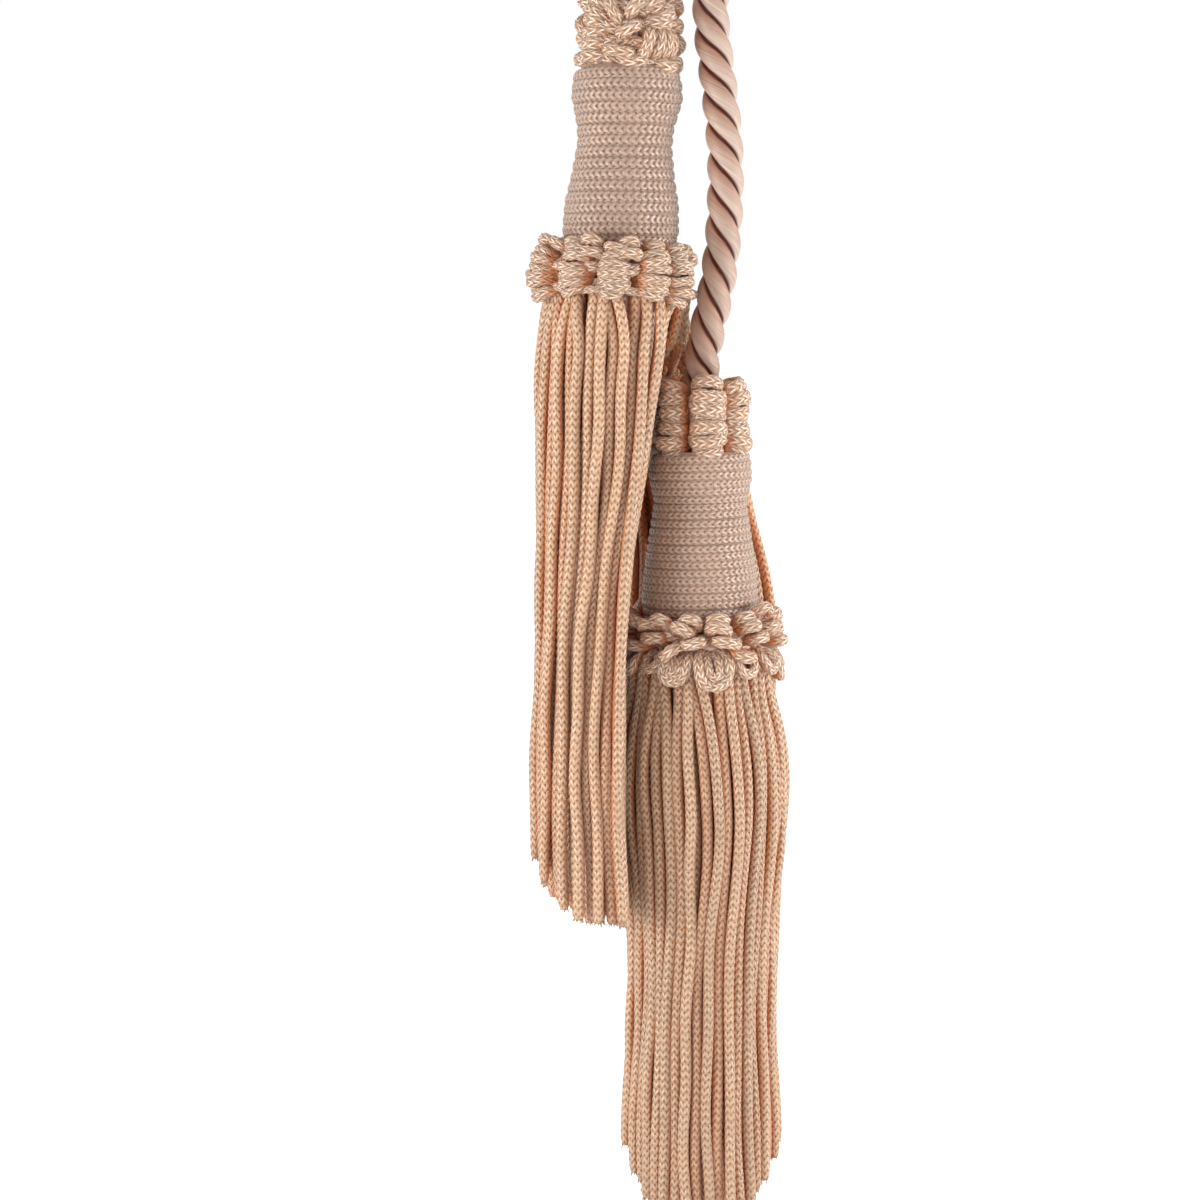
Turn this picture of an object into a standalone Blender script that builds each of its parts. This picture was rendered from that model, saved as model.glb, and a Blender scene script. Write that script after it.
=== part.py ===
"""Double tassel on a twisted rope.

Two key tassels hang from one three-ply rope, whose middle is turned over into a hanging loop.
Each tassel has a bottle-shaped wound head, a ruff of loops on its top, a collar of loops round
its base and a skirt of strands. The lower tassel pushes into the upper one's skirt, so some of
that skirt's strands fall behind it.

Units are metres, +Z is up, and the front is -Y. The origin is inside the top of the rope's loop,
where it rests on whatever holds the tassels up.
"""

import math
import random
from collections import namedtuple

import bmesh
import bpy
import numpy as np
from mathutils import Vector

MM = 0.001
PIECE_GAP = 0.3 * MM

# The rope
ROPE_DIAMETER = 7.0 * MM
ROPE_VALLEY_RADIUS = 2.3 * MM
ROPE_PLIES = 3
ROPE_CREST_SHARE = 0.42
ROPE_LAY = 17.0 * MM
ROPE_STEP = 2.05 * MM
# The rope's centre line, from the lower head over the loop to the upper head: x, y, z
ROPE_ROUTE = [
    (0.0084, 0.0016, -0.1227),
    (0.0083, 0.0016, -0.1170),
    (0.0084, 0.0013, -0.1110),
    (0.0087, 0.0006, -0.1056),
    (0.0097, -0.0004, -0.1000),
    (0.0110, -0.0015, -0.0935),
    (0.0120, -0.0021, -0.0860),
    (0.0125, -0.0022, -0.0779),
    (0.0125, -0.0019, -0.0695),
    (0.0117, -0.0013, -0.0603),
    (0.0105, -0.0007, -0.0510),
    (0.0099, -0.0003, -0.0410),
    (0.0118, 0.0000, -0.0315),
    (0.0146, 0.0000, -0.0222),
    (0.0160, 0.0000, -0.0125),
    (0.0139, 0.0000, -0.0045),
    (0.0080, 0.0000, 0.0014),
    (0.0000, 0.0000, 0.0035),
    (-0.0080, 0.0000, 0.0014),
    (-0.0139, 0.0000, -0.0045),
    (-0.0160, 0.0000, -0.0125),
    (-0.0146, 0.0001, -0.0210),
    (-0.0108, 0.0002, -0.0282),
    (-0.0068, 0.0003, -0.0340),
    (-0.0047, 0.0004, -0.0400),
    (-0.0046, 0.0004, -0.0465),
    (-0.0050, 0.0004, -0.0534),
]

# Where each tassel's collar is centred, and how far its head leans to the right
UPPER_PLACE = Vector((-0.0067, 0.0004, -0.0900))
UPPER_LEAN = math.radians(2.7)
LOWER_PLACE = Vector((0.0084, 0.0016, -0.1593))
LOWER_LEAN = 0.0

# The wound heads: height above the collar's centre, radius
UPPER_HEAD = [
    ("foot", -1.7 * MM, 9.9 * MM),
    ("under the collar", 4.4 * MM, 10.0 * MM),
    ("base", 7.0 * MM, 10.6 * MM),
    ("belly", 12.1 * MM, 10.35 * MM),
    ("taper", 16.5 * MM, 9.45 * MM),
    ("waist", 22.5 * MM, 8.6 * MM),
    ("neck", 25.6 * MM, 8.8 * MM),
    ("shoulder", 31.0 * MM, 10.1 * MM),
    ("crown", 34.2 * MM, 9.8 * MM),
    ("top", 36.3 * MM, 8.9 * MM),
]
LOWER_HEAD = [
    ("foot", -1.7 * MM, 9.9 * MM),
    ("under the collar", 4.4 * MM, 10.0 * MM),
    ("base", 8.5 * MM, 10.8 * MM),
    ("belly", 13.0 * MM, 10.5 * MM),
    ("taper", 19.6 * MM, 9.6 * MM),
    ("neck", 23.5 * MM, 9.0 * MM),
    ("waist", 27.0 * MM, 8.5 * MM),
    ("shoulder", 31.5 * MM, 9.5 * MM),
    ("crown", 34.5 * MM, 9.3 * MM),
    ("top", 36.3 * MM, 8.7 * MM),
]
WINDING_PITCH = 1.9 * MM
WINDING_DEPTH = 0.35 * MM
HEAD_STEPS = 16

# The collars and top ruffs: a ring, with tiers of locks that are folded loops of chainette
RING_STEPS = 18
COLLAR_BORE = 10.3 * MM
COLLAR_RADIUS = 12.5 * MM
COLLAR_TOP = 3.4 * MM
COLLAR_BOTTOM = -1.7 * MM
TOP_RUFF_BORE = 4.0 * MM
TOP_RUFF_RADIUS = 6.4 * MM
TOP_RUFF_BOTTOM = 36.6 * MM
TOP_RUFF_TOP = 47.6 * MM
LOCK_TIP_SWELL = 0.6

# Where the rope holds in the upper collar's loops: its direction, the half angle, their reach
BY_THE_ROPE = (math.radians(-12), math.radians(24), 0.5)

# A tier of locks. Its route is radius and height above the collar's centre, in millimetres, from
# the root outwards, and unevenness is how much the locks differ in reach and droop.
Tier = namedtuple("Tier", "count first_angle width thickness unevenness route")
UPPER_STANDING = Tier(
    14, 0.12, 4.0 * MM, 2.2 * MM, 0.10, [(11.5, 2.0), (13.4, 3.0), (14.3, 4.9), (14.2, 6.2)])
UPPER_HANGING = Tier(
    15, 0.30, 4.4 * MM, 2.0 * MM, 0.04, [(11.5, -0.2), (13.9, 0.3), (15.1, -2.0), (15.1, -5.2)])
UPPER_ROSETTE = [
    Tier(8, 0.1, 4.4 * MM, 2.9 * MM, 0.12, [(5.4, 38.3), (8.4, 38.3), (9.8, 38.5)]),
    Tier(8, 0.5, 4.4 * MM, 2.9 * MM, 0.12, [(5.4, 41.9), (8.8, 42.2), (10.4, 41.8)]),
    Tier(8, 0.1, 4.4 * MM, 2.9 * MM, 0.12, [(5.2, 45.7), (7.9, 47.3), (9.7, 47.6)]),
]
LOWER_STANDING = Tier(
    14, 0.05, 3.9 * MM, 2.2 * MM, 0.10, [(11.5, 2.0), (13.6, 3.8), (14.7, 6.6), (14.8, 8.8)])
LOWER_HANGING = Tier(
    15, 0.25, 4.4 * MM, 2.0 * MM, 0.05, [(11.5, -0.2), (14.0, 0.3), (15.1, -2.4), (15.1, -6.6)])
LOWER_STACKS = [
    Tier(7, 0.35, 4.8 * MM, 3.3 * MM, 0.04, [(5.4, 38.5), (7.6, 38.7), (8.8, 38.5)]),
    Tier(7, 0.35, 4.8 * MM, 3.3 * MM, 0.04, [(5.4, 42.3), (7.6, 42.5), (9.1, 42.3)]),
    Tier(7, 0.35, 4.8 * MM, 3.3 * MM, 0.04, [(5.4, 46.1), (7.6, 46.3), (8.7, 46.1)]),
]

# The skirts: a disc, and rings of strands, each ring a count and a radius
DISC_STEPS = 28
DISC_RADIUS = 13.5 * MM
DISC_TOP = -2.0 * MM
DISC_BOTTOM = -5.0 * MM
STRAND_ROOT = -3.6 * MM
STRAND_HALF_WIDTH = 1.1 * MM
STRAND_RINGS = [(33, 12.3 * MM), (24, 9.8 * MM), (14, 7.2 * MM), (7, 4.3 * MM)]
# How far each ring is turned from the one outside it, as a share of a step between strands
RING_OFFSET = 0.37
# The most that a strand is longer or shorter than its neighbours
LENGTH_MORE = 1.0 * MM
LENGTH_LESS = 1.5 * MM
# The skirts' outer strands are cut shorter: by this power of how far out they hang
ROUNDING_POWER = 5

# The lower skirt
LOWER_SKIRT_CENTRE = (0.0091, 0.0016)
LOWER_SKIRT_HALF_WIDTH = 13.9 * MM
LOWER_SKIRT_LENGTH = 102.6 * MM
LOWER_SKIRT_ROUNDING = 11.0 * MM
# Depth below the collar's centre, and the spread of the strands there
LOWER_SKIRT_SPREAD = [
    (3.6 * MM, 1.0),
    (7.6 * MM, 1.02),
    (14.0 * MM, 1.12),
    (52.0 * MM, 1.135),
]
LOWER_TIP_SPREAD = 1.11
# The depths at which the strands hang on the skirt's own centre, and sway by their full amount
CENTRED_DEPTH = 24.0 * MM
SWAYING_DEPTH = 30.0 * MM
SWAY = 0.45 * MM
# Side to side and front to back: how far down, and how far across, one sway is 2 pi times
SWAY_ACROSS = (17.0 * MM, 9.0 * MM)
SWAY_FORWARDS = (21.0 * MM, 8.0 * MM)
SWAY_LAG = 1.3

# The upper skirt
UPPER_SKIRT_LENGTH = 119.5 * MM
UPPER_SKIRT_ROUNDING = 10.0 * MM
UPPER_SKIRT_LEFT = -21.6 * MM
STRAND_PITCH = 2.32 * MM
COMB_ROUNDS = 60
COMB_SHARE = 0.7
# Strands whose root lies this far from the disc's centre towards the right-hand back fall behind
BEHIND_DIRECTION = math.radians(58)
BEHIND_OFFSET = 3.6 * MM
BEHIND_SHORTER = 7.0 * MM
# How far the strands behind and in front swing out (x, y) for each metre that they fall, at the
# collar, and the depth where they hang straight
BEHIND_LEAN = (0.30, 0.30)
FRONT_LEAN = (-0.10, -0.02)
STRAIGHT_DEPTH = 60.0 * MM
# Depth below the collar's centre, the right-hand limit of the strands in front, and the
# right-hand limit of those behind
UPPER_SKIRT_LIMITS = [
    (3.6 * MM, 4.0 * MM, 4.5 * MM),
    (7.5 * MM, 1.6 * MM, 5.6 * MM),
    (13.0 * MM, 0.6 * MM, 7.0 * MM),
    (20.0 * MM, -0.6 * MM, 9.2 * MM),
    (30.0 * MM, -2.0 * MM, 12.4 * MM),
    (44.0 * MM, -3.6 * MM, 17.2 * MM),
    (64.0 * MM, -5.4 * MM, 22.6 * MM),
    (86.0 * MM, -6.4 * MM, 22.4 * MM),
    (120.0 * MM, -6.6 * MM, 22.0 * MM),
]
# What the strands part round, as depth below the upper collar's centre, and radius
PARTING_RADIUS = [
    (0.0 * MM, 3.6 * MM),
    (13.0 * MM, 4.4 * MM),
    (20.0 * MM, 9.4 * MM),
    (30.0 * MM, 9.6 * MM),
    (48.0 * MM, 10.6 * MM),
    (56.0 * MM, 13.0 * MM),
    (64.0 * MM, 16.3 * MM),
    (77.0 * MM, 16.5 * MM),
    (90.0 * MM, 15.8 * MM),
    (140.0 * MM, 15.4 * MM),
]


def material(name, colour, roughness):
    """A plain Principled finish."""
    finish = bpy.data.materials.new(name)
    finish.use_nodes = True
    shader = finish.node_tree.nodes["Principled BSDF"]
    shader.inputs["Base Color"].default_value = (*colour, 1.0)
    shader.inputs["Roughness"].default_value = roughness
    shader.inputs["Metallic"].default_value = 0.0
    return finish


def add_object(name, data, collection, finish=None, parent=None):
    piece = bpy.data.objects.new(name, data)
    collection.objects.link(piece)
    piece.parent = parent
    if finish:
        data.materials.append(finish)
    return piece


def add_guide(name, data):
    """A shape that a Boolean joins to a piece, and that isn't a piece itself."""
    guide = add_object(name, data, GUIDES)
    guide.hide_render = True
    guide.display_type = "WIRE"
    return guide


# Turned pieces


def turn(name, profile, closed, steps, finish, parent):
    """Turn a profile of (radius, height) points, listed down its outer side, about the Z axis."""
    mesh = bpy.data.meshes.new(name)
    points = [(radius, 0.0, height) for radius, height in profile]
    edges = [(i, i + 1) for i in range(len(points) - 1)]
    if closed:
        edges.append((len(points) - 1, 0))
    mesh.from_pydata(points, edges, [])
    piece = add_object(name, mesh, PARTS, finish, parent)
    screw = piece.modifiers.new("turn", "SCREW")
    screw.axis = "Z"
    screw.angle = math.tau
    screw.steps = steps
    screw.render_steps = steps
    screw.use_merge_vertices = True
    screw.merge_threshold = 0.00001
    screw.use_smooth_shade = True
    return piece


def head_radius(sections, height):
    """The head's radius at a height, in a straight line from section to section."""
    heights = [section[1] for section in sections]
    radii = [section[2] for section in sections]
    return float(np.interp(height, heights, radii))


def wound_profile(sections):
    """The head's outer side, top to bottom, with a ridge for each turn of the winding that shows."""
    top = sections[-1][1]
    hidden = sections[1][1]
    turns = round((top - hidden) / WINDING_PITCH)
    pitch = (top - hidden) / turns
    profile = [(0.0, top)]
    for turn_number in range(turns):
        edge = top - turn_number * pitch
        crest = edge - pitch / 2
        profile.append((head_radius(sections, edge) - WINDING_DEPTH, edge))
        profile.append((head_radius(sections, crest), crest))
    profile.append((head_radius(sections, hidden) - WINDING_DEPTH, hidden))
    foot_radius = sections[0][2] - WINDING_DEPTH
    profile.append((foot_radius, sections[0][1]))
    profile.append((0.0, sections[0][1]))
    return profile


# Locks and strands: four-sided lengths, each grown from one face, section by section


def grow(bm, sections):
    """Add a closed four-sided length through its sections, each of four corners."""
    bm.faces.new([bm.verts.new(corner) for corner in reversed(sections[0])])
    face = bm.faces.new([bm.verts.new(corner) for corner in sections[0]])
    for section in sections[1:]:
        face = bmesh.ops.extrude_discrete_faces(bm, faces=[face])["faces"][0]
        for vert, corner in zip(face.verts, section):
            vert.co = corner


def locks_mesh(name, lengths):
    """One mesh that holds many separate four-sided lengths."""
    bm = bmesh.new()
    for sections in lengths:
        grow(bm, sections)
    bmesh.ops.remove_doubles(bm, verts=bm.verts, dist=0.000005)
    bmesh.ops.recalc_face_normals(bm, faces=bm.faces)
    mesh = bpy.data.meshes.new(name)
    bm.to_mesh(mesh)
    bm.free()
    return mesh


def unite(piece, guide):
    join = piece.modifiers.new("roots", "BOOLEAN")
    join.operation = "UNION"
    join.solver = "EXACT"
    join.object = guide


def lock_sections(angle, route, width, thickness):
    """A folded loop that stands out from a ring: its route is (radius, height) points."""
    outwards = Vector((math.cos(angle), math.sin(angle), 0.0))
    across = Vector((-math.sin(angle), math.cos(angle), 0.0))
    places = [outwards * radius + Vector((0.0, 0.0, height)) for radius, height in route]
    sections = []
    for i, place in enumerate(places):
        along = (places[min(i + 1, len(places) - 1)] - places[max(i - 1, 0)]).normalized()
        raised = along.cross(across).normalized()
        swell = LOCK_TIP_SWELL if i == len(places) - 1 else 1.0
        half_across = across * width / 2 * swell
        half_raised = raised * thickness / 2 * swell
        sections.append([
            place + half_across + half_raised,
            place - half_across + half_raised,
            place - half_across - half_raised,
            place + half_across - half_raised,
        ])
    return sections


def ring_of_locks(tier, dice, pressed=None):
    """A tier's locks, each with its own reach and droop past the root.

    pressed is the (angle, half angle, share) of a stretch where something holds the locks in,
    so that they stand straight out, by that share of their reach.
    """
    locks = []
    route = [(radius * MM, height * MM) for radius, height in tier.route]
    root_radius, root_height = route[0]
    reach_mean = max(radius for radius, _ in route) - root_radius
    for i in range(tier.count):
        angle = tier.first_angle + math.tau * i / tier.count
        reach = 1.0 + tier.unevenness * dice.uniform(-0.5, 0.5)
        droop = tier.unevenness * dice.uniform(-2.0, 2.0) * MM
        own_route = []
        for k, (radius, height) in enumerate(route):
            share = k / (len(route) - 1)
            own_radius = root_radius + (radius - root_radius) * reach
            own_route.append((own_radius, height + droop * share))
            if pressed and math.cos(angle - pressed[0]) > math.cos(pressed[1]):
                own_route[k] = (root_radius + reach_mean * pressed[2] * share, root_height)
        locks.append(lock_sections(angle, own_route, tier.width, tier.thickness))
    return locks


def collar(name, finish, parent, upper_tier, lower_tier):
    """The ruff round a head's base: loops that stand up, over loops that hang down."""
    profile = [
        (COLLAR_RADIUS, COLLAR_TOP),
        (COLLAR_RADIUS, COLLAR_BOTTOM),
        (COLLAR_BORE, COLLAR_BOTTOM),
        (COLLAR_BORE, COLLAR_TOP),
    ]
    ring = turn(name, profile, True, RING_STEPS, finish, parent)
    for tier, locks in (("upper", upper_tier), ("lower", lower_tier)):
        guide = add_guide(f"{name}_{tier}_loops", locks_mesh(f"{name}_{tier}_loops", locks))
        guide.parent = parent
        unite(ring, guide)
    return ring


def top_ruff(name, finish, parent, tiers):
    """The rosette on a head's top: a ring round the rope, with tiers of loops."""
    profile = [
        (TOP_RUFF_RADIUS, TOP_RUFF_TOP),
        (TOP_RUFF_RADIUS, TOP_RUFF_BOTTOM),
        (TOP_RUFF_BORE, TOP_RUFF_BOTTOM),
        (TOP_RUFF_BORE, TOP_RUFF_TOP),
    ]
    ring = turn(name, profile, True, RING_STEPS, finish, parent)
    locks = [lock for tier in tiers for lock in tier]
    guide = add_guide(f"{name}_loops", locks_mesh(f"{name}_loops", locks))
    guide.parent = parent
    unite(ring, guide)
    return ring


# The skirts


def strand_roots():
    """Where the strands leave the disc, as (x, y) from its centre, outermost ring first."""
    roots = []
    for ring_number, (count, radius) in enumerate(STRAND_RINGS):
        for i in range(count):
            angle = math.tau * (i + RING_OFFSET * ring_number) / count
            roots.append((radius * math.cos(angle), radius * math.sin(angle)))
    return np.array(roots)


def strand_sections(points):
    """A strand's four corners at each of its points, a corner to the front."""
    reach = STRAND_HALF_WIDTH
    corners = [(reach, 0.0), (0.0, reach), (-reach, 0.0), (0.0, -reach)]
    return [[(x + dx, y + dy, z) for dx, dy in corners] for x, y, z in points]


def skirt(name, finish, parent, strands):
    """A disc with its strands, whose points are in world coordinates."""
    profile = [
        (0.0, DISC_TOP),
        (DISC_RADIUS, DISC_TOP),
        (DISC_RADIUS, DISC_BOTTOM),
        (0.0, DISC_BOTTOM),
    ]
    disc = turn(name, profile, False, DISC_STEPS, finish, parent)
    lengths = [strand_sections(points) for points in strands]
    guide = add_guide(f"{name}_strands", locks_mesh(f"{name}_strands", lengths))
    unite(disc, guide)
    return disc


def sway(x, y, depth):
    """A slow wander of the strands that neighbours share."""
    phase_across = depth / SWAY_ACROSS[0] + x / SWAY_ACROSS[1]
    phase_forwards = depth / SWAY_FORWARDS[0] + y / SWAY_FORWARDS[1] + SWAY_LAG
    return SWAY * math.sin(phase_across), SWAY * math.sin(phase_forwards)


def lower_strands(dice):
    """The lower skirt hangs straight down, a little wider than its disc."""
    strands = []
    for root_x, root_y in strand_roots():
        edge = min(1.0, math.hypot(root_x, root_y) * LOWER_TIP_SPREAD / LOWER_SKIRT_HALF_WIDTH)
        length = LOWER_SKIRT_LENGTH - LOWER_SKIRT_ROUNDING * edge**ROUNDING_POWER
        length += dice.uniform(-LENGTH_LESS, LENGTH_MORE)
        points = []
        for depth, spread in [*LOWER_SKIRT_SPREAD, (length, LOWER_TIP_SPREAD)]:
            loose = min(1.0, (depth + STRAND_ROOT) / SWAYING_DEPTH)
            sway_x, sway_y = sway(root_x, root_y, depth)
            slide = min(1.0, depth / CENTRED_DEPTH)
            centre_x = LOWER_PLACE.x + (LOWER_SKIRT_CENTRE[0] - LOWER_PLACE.x) * slide
            points.append((
                centre_x + root_x * spread + sway_x * loose,
                LOWER_SKIRT_CENTRE[1] + root_y * spread + sway_y * loose,
                LOWER_PLACE.z - depth,
            ))
        strands.append(points)
    return strands


# The upper skirt parts round the lower tassel. Its strands are combed down level by level: each
# hangs from the place that it had on the level above, is kept clear of the lower tassel and of
# its neighbours, and stays on its own side.


def parting(depth, route):
    """The centre and radius of what the upper skirt's strands go round at a depth."""
    z = UPPER_PLACE.z - depth
    radius = float(np.interp(depth, *zip(*PARTING_RADIUS)))
    rising = [point for point in route if point[2] <= 0.0][: len(route) // 2]
    heights = [point[2] for point in rising]
    x = float(np.interp(z, heights, [point[0] for point in rising]))
    y = float(np.interp(z, heights, [point[1] for point in rising]))
    return np.array((x, y)), radius + STRAND_HALF_WIDTH + PIECE_GAP


def push_apart(places):
    """Move each pair of strands that is closer than the pitch apart by what it lacks."""
    offsets = places[:, None, :] - places[None, :, :]
    distances = np.linalg.norm(offsets, axis=2)
    np.fill_diagonal(distances, 1.0)
    lacking = np.clip(STRAND_PITCH - distances, 0.0, None)
    moves = offsets / distances[:, :, None] * lacking[:, :, None] * 0.5
    return places + moves.sum(axis=1) * COMB_SHARE


def comb_level(places, behind, depth, route):
    """Settle the strands on one level."""
    centre, radius = parting(depth, route)
    depths, front_limits, behind_limits = zip(*UPPER_SKIRT_LIMITS)
    limits = np.where(behind, np.interp(depth, depths, behind_limits),
                      np.interp(depth, depths, front_limits))
    for _ in range(COMB_ROUNDS):
        places = push_apart(places)
        from_centre = places - centre
        distance = np.linalg.norm(from_centre, axis=1)
        inside = distance < radius
        places[inside] = centre + from_centre[inside] / distance[inside, None] * radius
        places[:, 0] = np.clip(places[:, 0], UPPER_SKIRT_LEFT, limits)
    return places


def upper_strands(route, dice):
    """The upper skirt's strands, combed down past the lower tassel."""
    roots = strand_roots()
    direction = np.array((math.cos(BEHIND_DIRECTION), math.sin(BEHIND_DIRECTION)))
    behind = roots @ direction > BEHIND_OFFSET
    root_x = UPPER_PLACE.x + STRAND_ROOT * math.sin(UPPER_LEAN)
    places = roots + np.array((root_x, UPPER_PLACE.y))
    depths = [limit[0] for limit in UPPER_SKIRT_LIMITS]
    levels = [places]
    for above, depth in zip(depths, depths[1:]):
        fall = depth - above
        lean = np.zeros_like(places)
        swing = fall * max(0.0, 1.0 - above / STRAIGHT_DEPTH)
        lean[behind] = swing * np.array(BEHIND_LEAN)
        lean[~behind] = swing * np.array(FRONT_LEAN)
        places = comb_level(places + lean, behind, depth, route)
        levels.append(places)
    strands = []
    right_limit = UPPER_SKIRT_LIMITS[-1][1]
    for i in range(len(roots)):
        length = UPPER_SKIRT_LENGTH + dice.uniform(-LENGTH_LESS, LENGTH_MORE)
        if behind[i]:
            length -= BEHIND_SHORTER
        else:
            left = (levels[-1][i][0] - right_limit) / (UPPER_SKIRT_LEFT - right_limit)
            length -= UPPER_SKIRT_ROUNDING * max(0.0, left) ** ROUNDING_POWER
        points = []
        for depth, level in zip(depths[:-1], levels):
            points.append((level[i][0], level[i][1], UPPER_PLACE.z - depth))
        share = (length - depths[-2]) / (depths[-1] - depths[-2])
        end = levels[-2][i] + (levels[-1][i] - levels[-2][i]) * share
        points.append((end[0], end[1], UPPER_PLACE.z - length))
        strands.append(points)
    return strands


# The rope


def smooth_route(points, step):
    """Points about a step apart along a natural cubic spline through the route's points."""
    points = np.array(points)
    chords = np.linalg.norm(np.diff(points, axis=0), axis=1)
    knots = np.concatenate(([0.0], np.cumsum(chords)))
    count = len(points)
    system = np.eye(count)
    sides = np.zeros((count, 3))
    for i in range(1, count - 1):
        before = chords[i - 1]
        after = chords[i]
        system[i, i - 1 : i + 2] = (before, 2 * (before + after), after)
        slopes = (points[i + 1] - points[i]) / after - (points[i] - points[i - 1]) / before
        sides[i] = 6 * slopes
    curvature = np.linalg.solve(system, sides)

    def spline(at):
        i = min(max(int(np.searchsorted(knots, at)) - 1, 0), count - 2)
        width = chords[i]
        left = (knots[i + 1] - at) / width
        right = (at - knots[i]) / width
        bend = (left**3 - left) * curvature[i] + (right**3 - right) * curvature[i + 1]
        return left * points[i] + right * points[i + 1] + bend * width * width / 6

    fine = np.array([spline(at) for at in np.linspace(0.0, knots[-1], 2000)])
    lengths = np.concatenate(([0.0], np.cumsum(np.linalg.norm(np.diff(fine, axis=0), axis=1))))
    steps = round(lengths[-1] / step)
    wanted = np.linspace(0.0, lengths[-1], steps + 1)
    return [tuple(float(np.interp(at, lengths, fine[:, k])) for k in range(3)) for at in wanted]


def rope(finish):
    """The rope is a three-lobed section swept along its route, turning once for each lay."""
    section = bpy.data.curves.new("rope_section", "CURVE")
    outline = section.splines.new("POLY")
    outline.points.add(ROPE_PLIES * 3 - 1)
    outline.use_cyclic_u = True
    crest = ROPE_DIAMETER / 2
    for ply in range(ROPE_PLIES):
        middle = -math.tau * ply / ROPE_PLIES
        half_ply = math.pi / ROPE_PLIES
        corners = (
            (middle + half_ply, ROPE_VALLEY_RADIUS),
            (middle + half_ply * ROPE_CREST_SHARE, crest),
            (middle - half_ply * ROPE_CREST_SHARE, crest),
        )
        for k, (angle, radius) in enumerate(corners):
            point = outline.points[ply * 3 + k]
            point.co = (radius * math.cos(angle), radius * math.sin(angle), 0.0, 1.0)
    section_guide = add_guide("rope_section", section)

    curve = bpy.data.curves.new("rope", "CURVE")
    curve.dimensions = "3D"
    curve.resolution_u = 1
    curve.bevel_mode = "OBJECT"
    curve.bevel_object = section_guide
    curve.use_fill_caps = True
    places = smooth_route(ROPE_ROUTE, ROPE_STEP)
    spline = curve.splines.new("POLY")
    spline.points.add(len(places) - 1)
    travelled = 0.0
    for i, place in enumerate(places):
        if i:
            travelled += math.dist(place, places[i - 1])
        spline.points[i].co = (*place, 1.0)
        spline.points[i].tilt = -math.tau * travelled / ROPE_LAY
    return add_object("rope", curve, PARTS, finish)


# Each tassel


def add_place(name, place, lean):
    """The empty that carries a tassel's turned pieces, at its collar's centre."""
    empty = bpy.data.objects.new(name, None)
    PARTS.objects.link(empty)
    empty.location = place
    empty.rotation_euler = (0.0, lean, 0.0)
    return empty


def upper_tassel(finishes):
    """The left-hand tassel: a full rosette on top, and a low, bunched collar."""
    dice = random.Random(11)
    place = add_place("upper_tassel", UPPER_PLACE, UPPER_LEAN)
    turn("upper_head", wound_profile(UPPER_HEAD), False, HEAD_STEPS, finishes["head"], place)
    standing = ring_of_locks(UPPER_STANDING, dice, BY_THE_ROPE)
    hanging = ring_of_locks(UPPER_HANGING, dice, BY_THE_ROPE)
    collar("upper_collar", finishes["ruff"], place, standing, hanging)
    rosette = [ring_of_locks(tier, dice) for tier in UPPER_ROSETTE]
    top_ruff("upper_top_ruff", finishes["ruff"], place, rosette)
    strands = upper_strands(smooth_route(ROPE_ROUTE, ROPE_STEP), dice)
    skirt("upper_skirt", finishes["skirt"], place, strands)


def lower_tassel(finishes):
    """The right-hand tassel: loops stacked in clumps on top, and a full, open collar."""
    dice = random.Random(23)
    place = add_place("lower_tassel", LOWER_PLACE, LOWER_LEAN)
    turn("lower_head", wound_profile(LOWER_HEAD), False, HEAD_STEPS, finishes["head"], place)
    standing = ring_of_locks(LOWER_STANDING, dice)
    hanging = ring_of_locks(LOWER_HANGING, dice)
    collar("lower_collar", finishes["ruff"], place, standing, hanging)
    stacks = [ring_of_locks(tier, dice) for tier in LOWER_STACKS]
    top_ruff("lower_top_ruff", finishes["ruff"], place, stacks)
    skirt("lower_skirt", finishes["skirt"], place, lower_strands(dice))


def main():
    finishes = {
        "rope": material("satin rope", (0.62, 0.40, 0.28), 0.35),
        "head": material("wound chainette", (0.70, 0.48, 0.36), 0.55),
        "ruff": material("chainette loops", (0.74, 0.52, 0.36), 0.6),
        "skirt": material("chainette strands", (0.76, 0.50, 0.33), 0.6),
    }
    rope(finishes["rope"])
    upper_tassel(finishes)
    lower_tassel(finishes)


for old in list(bpy.data.objects):
    bpy.data.objects.remove(old)
PARTS = bpy.data.collections.new("double tassel")
GUIDES = bpy.data.collections.new("cutters")
bpy.context.scene.collection.children.link(PARTS)
bpy.context.scene.collection.children.link(GUIDES)
main()
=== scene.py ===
"""Dresses the double tassel.

The strands, loops and windings are chainette, a thin knitted tube of rayon, and each is swept
along its own path. The rope is three satin plies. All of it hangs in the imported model's frame:
metres, +Z up, and the front at -Y.
"""

import math
import random

import bmesh
import bpy
import numpy as np
from mathutils import Matrix, Vector, noise


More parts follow.
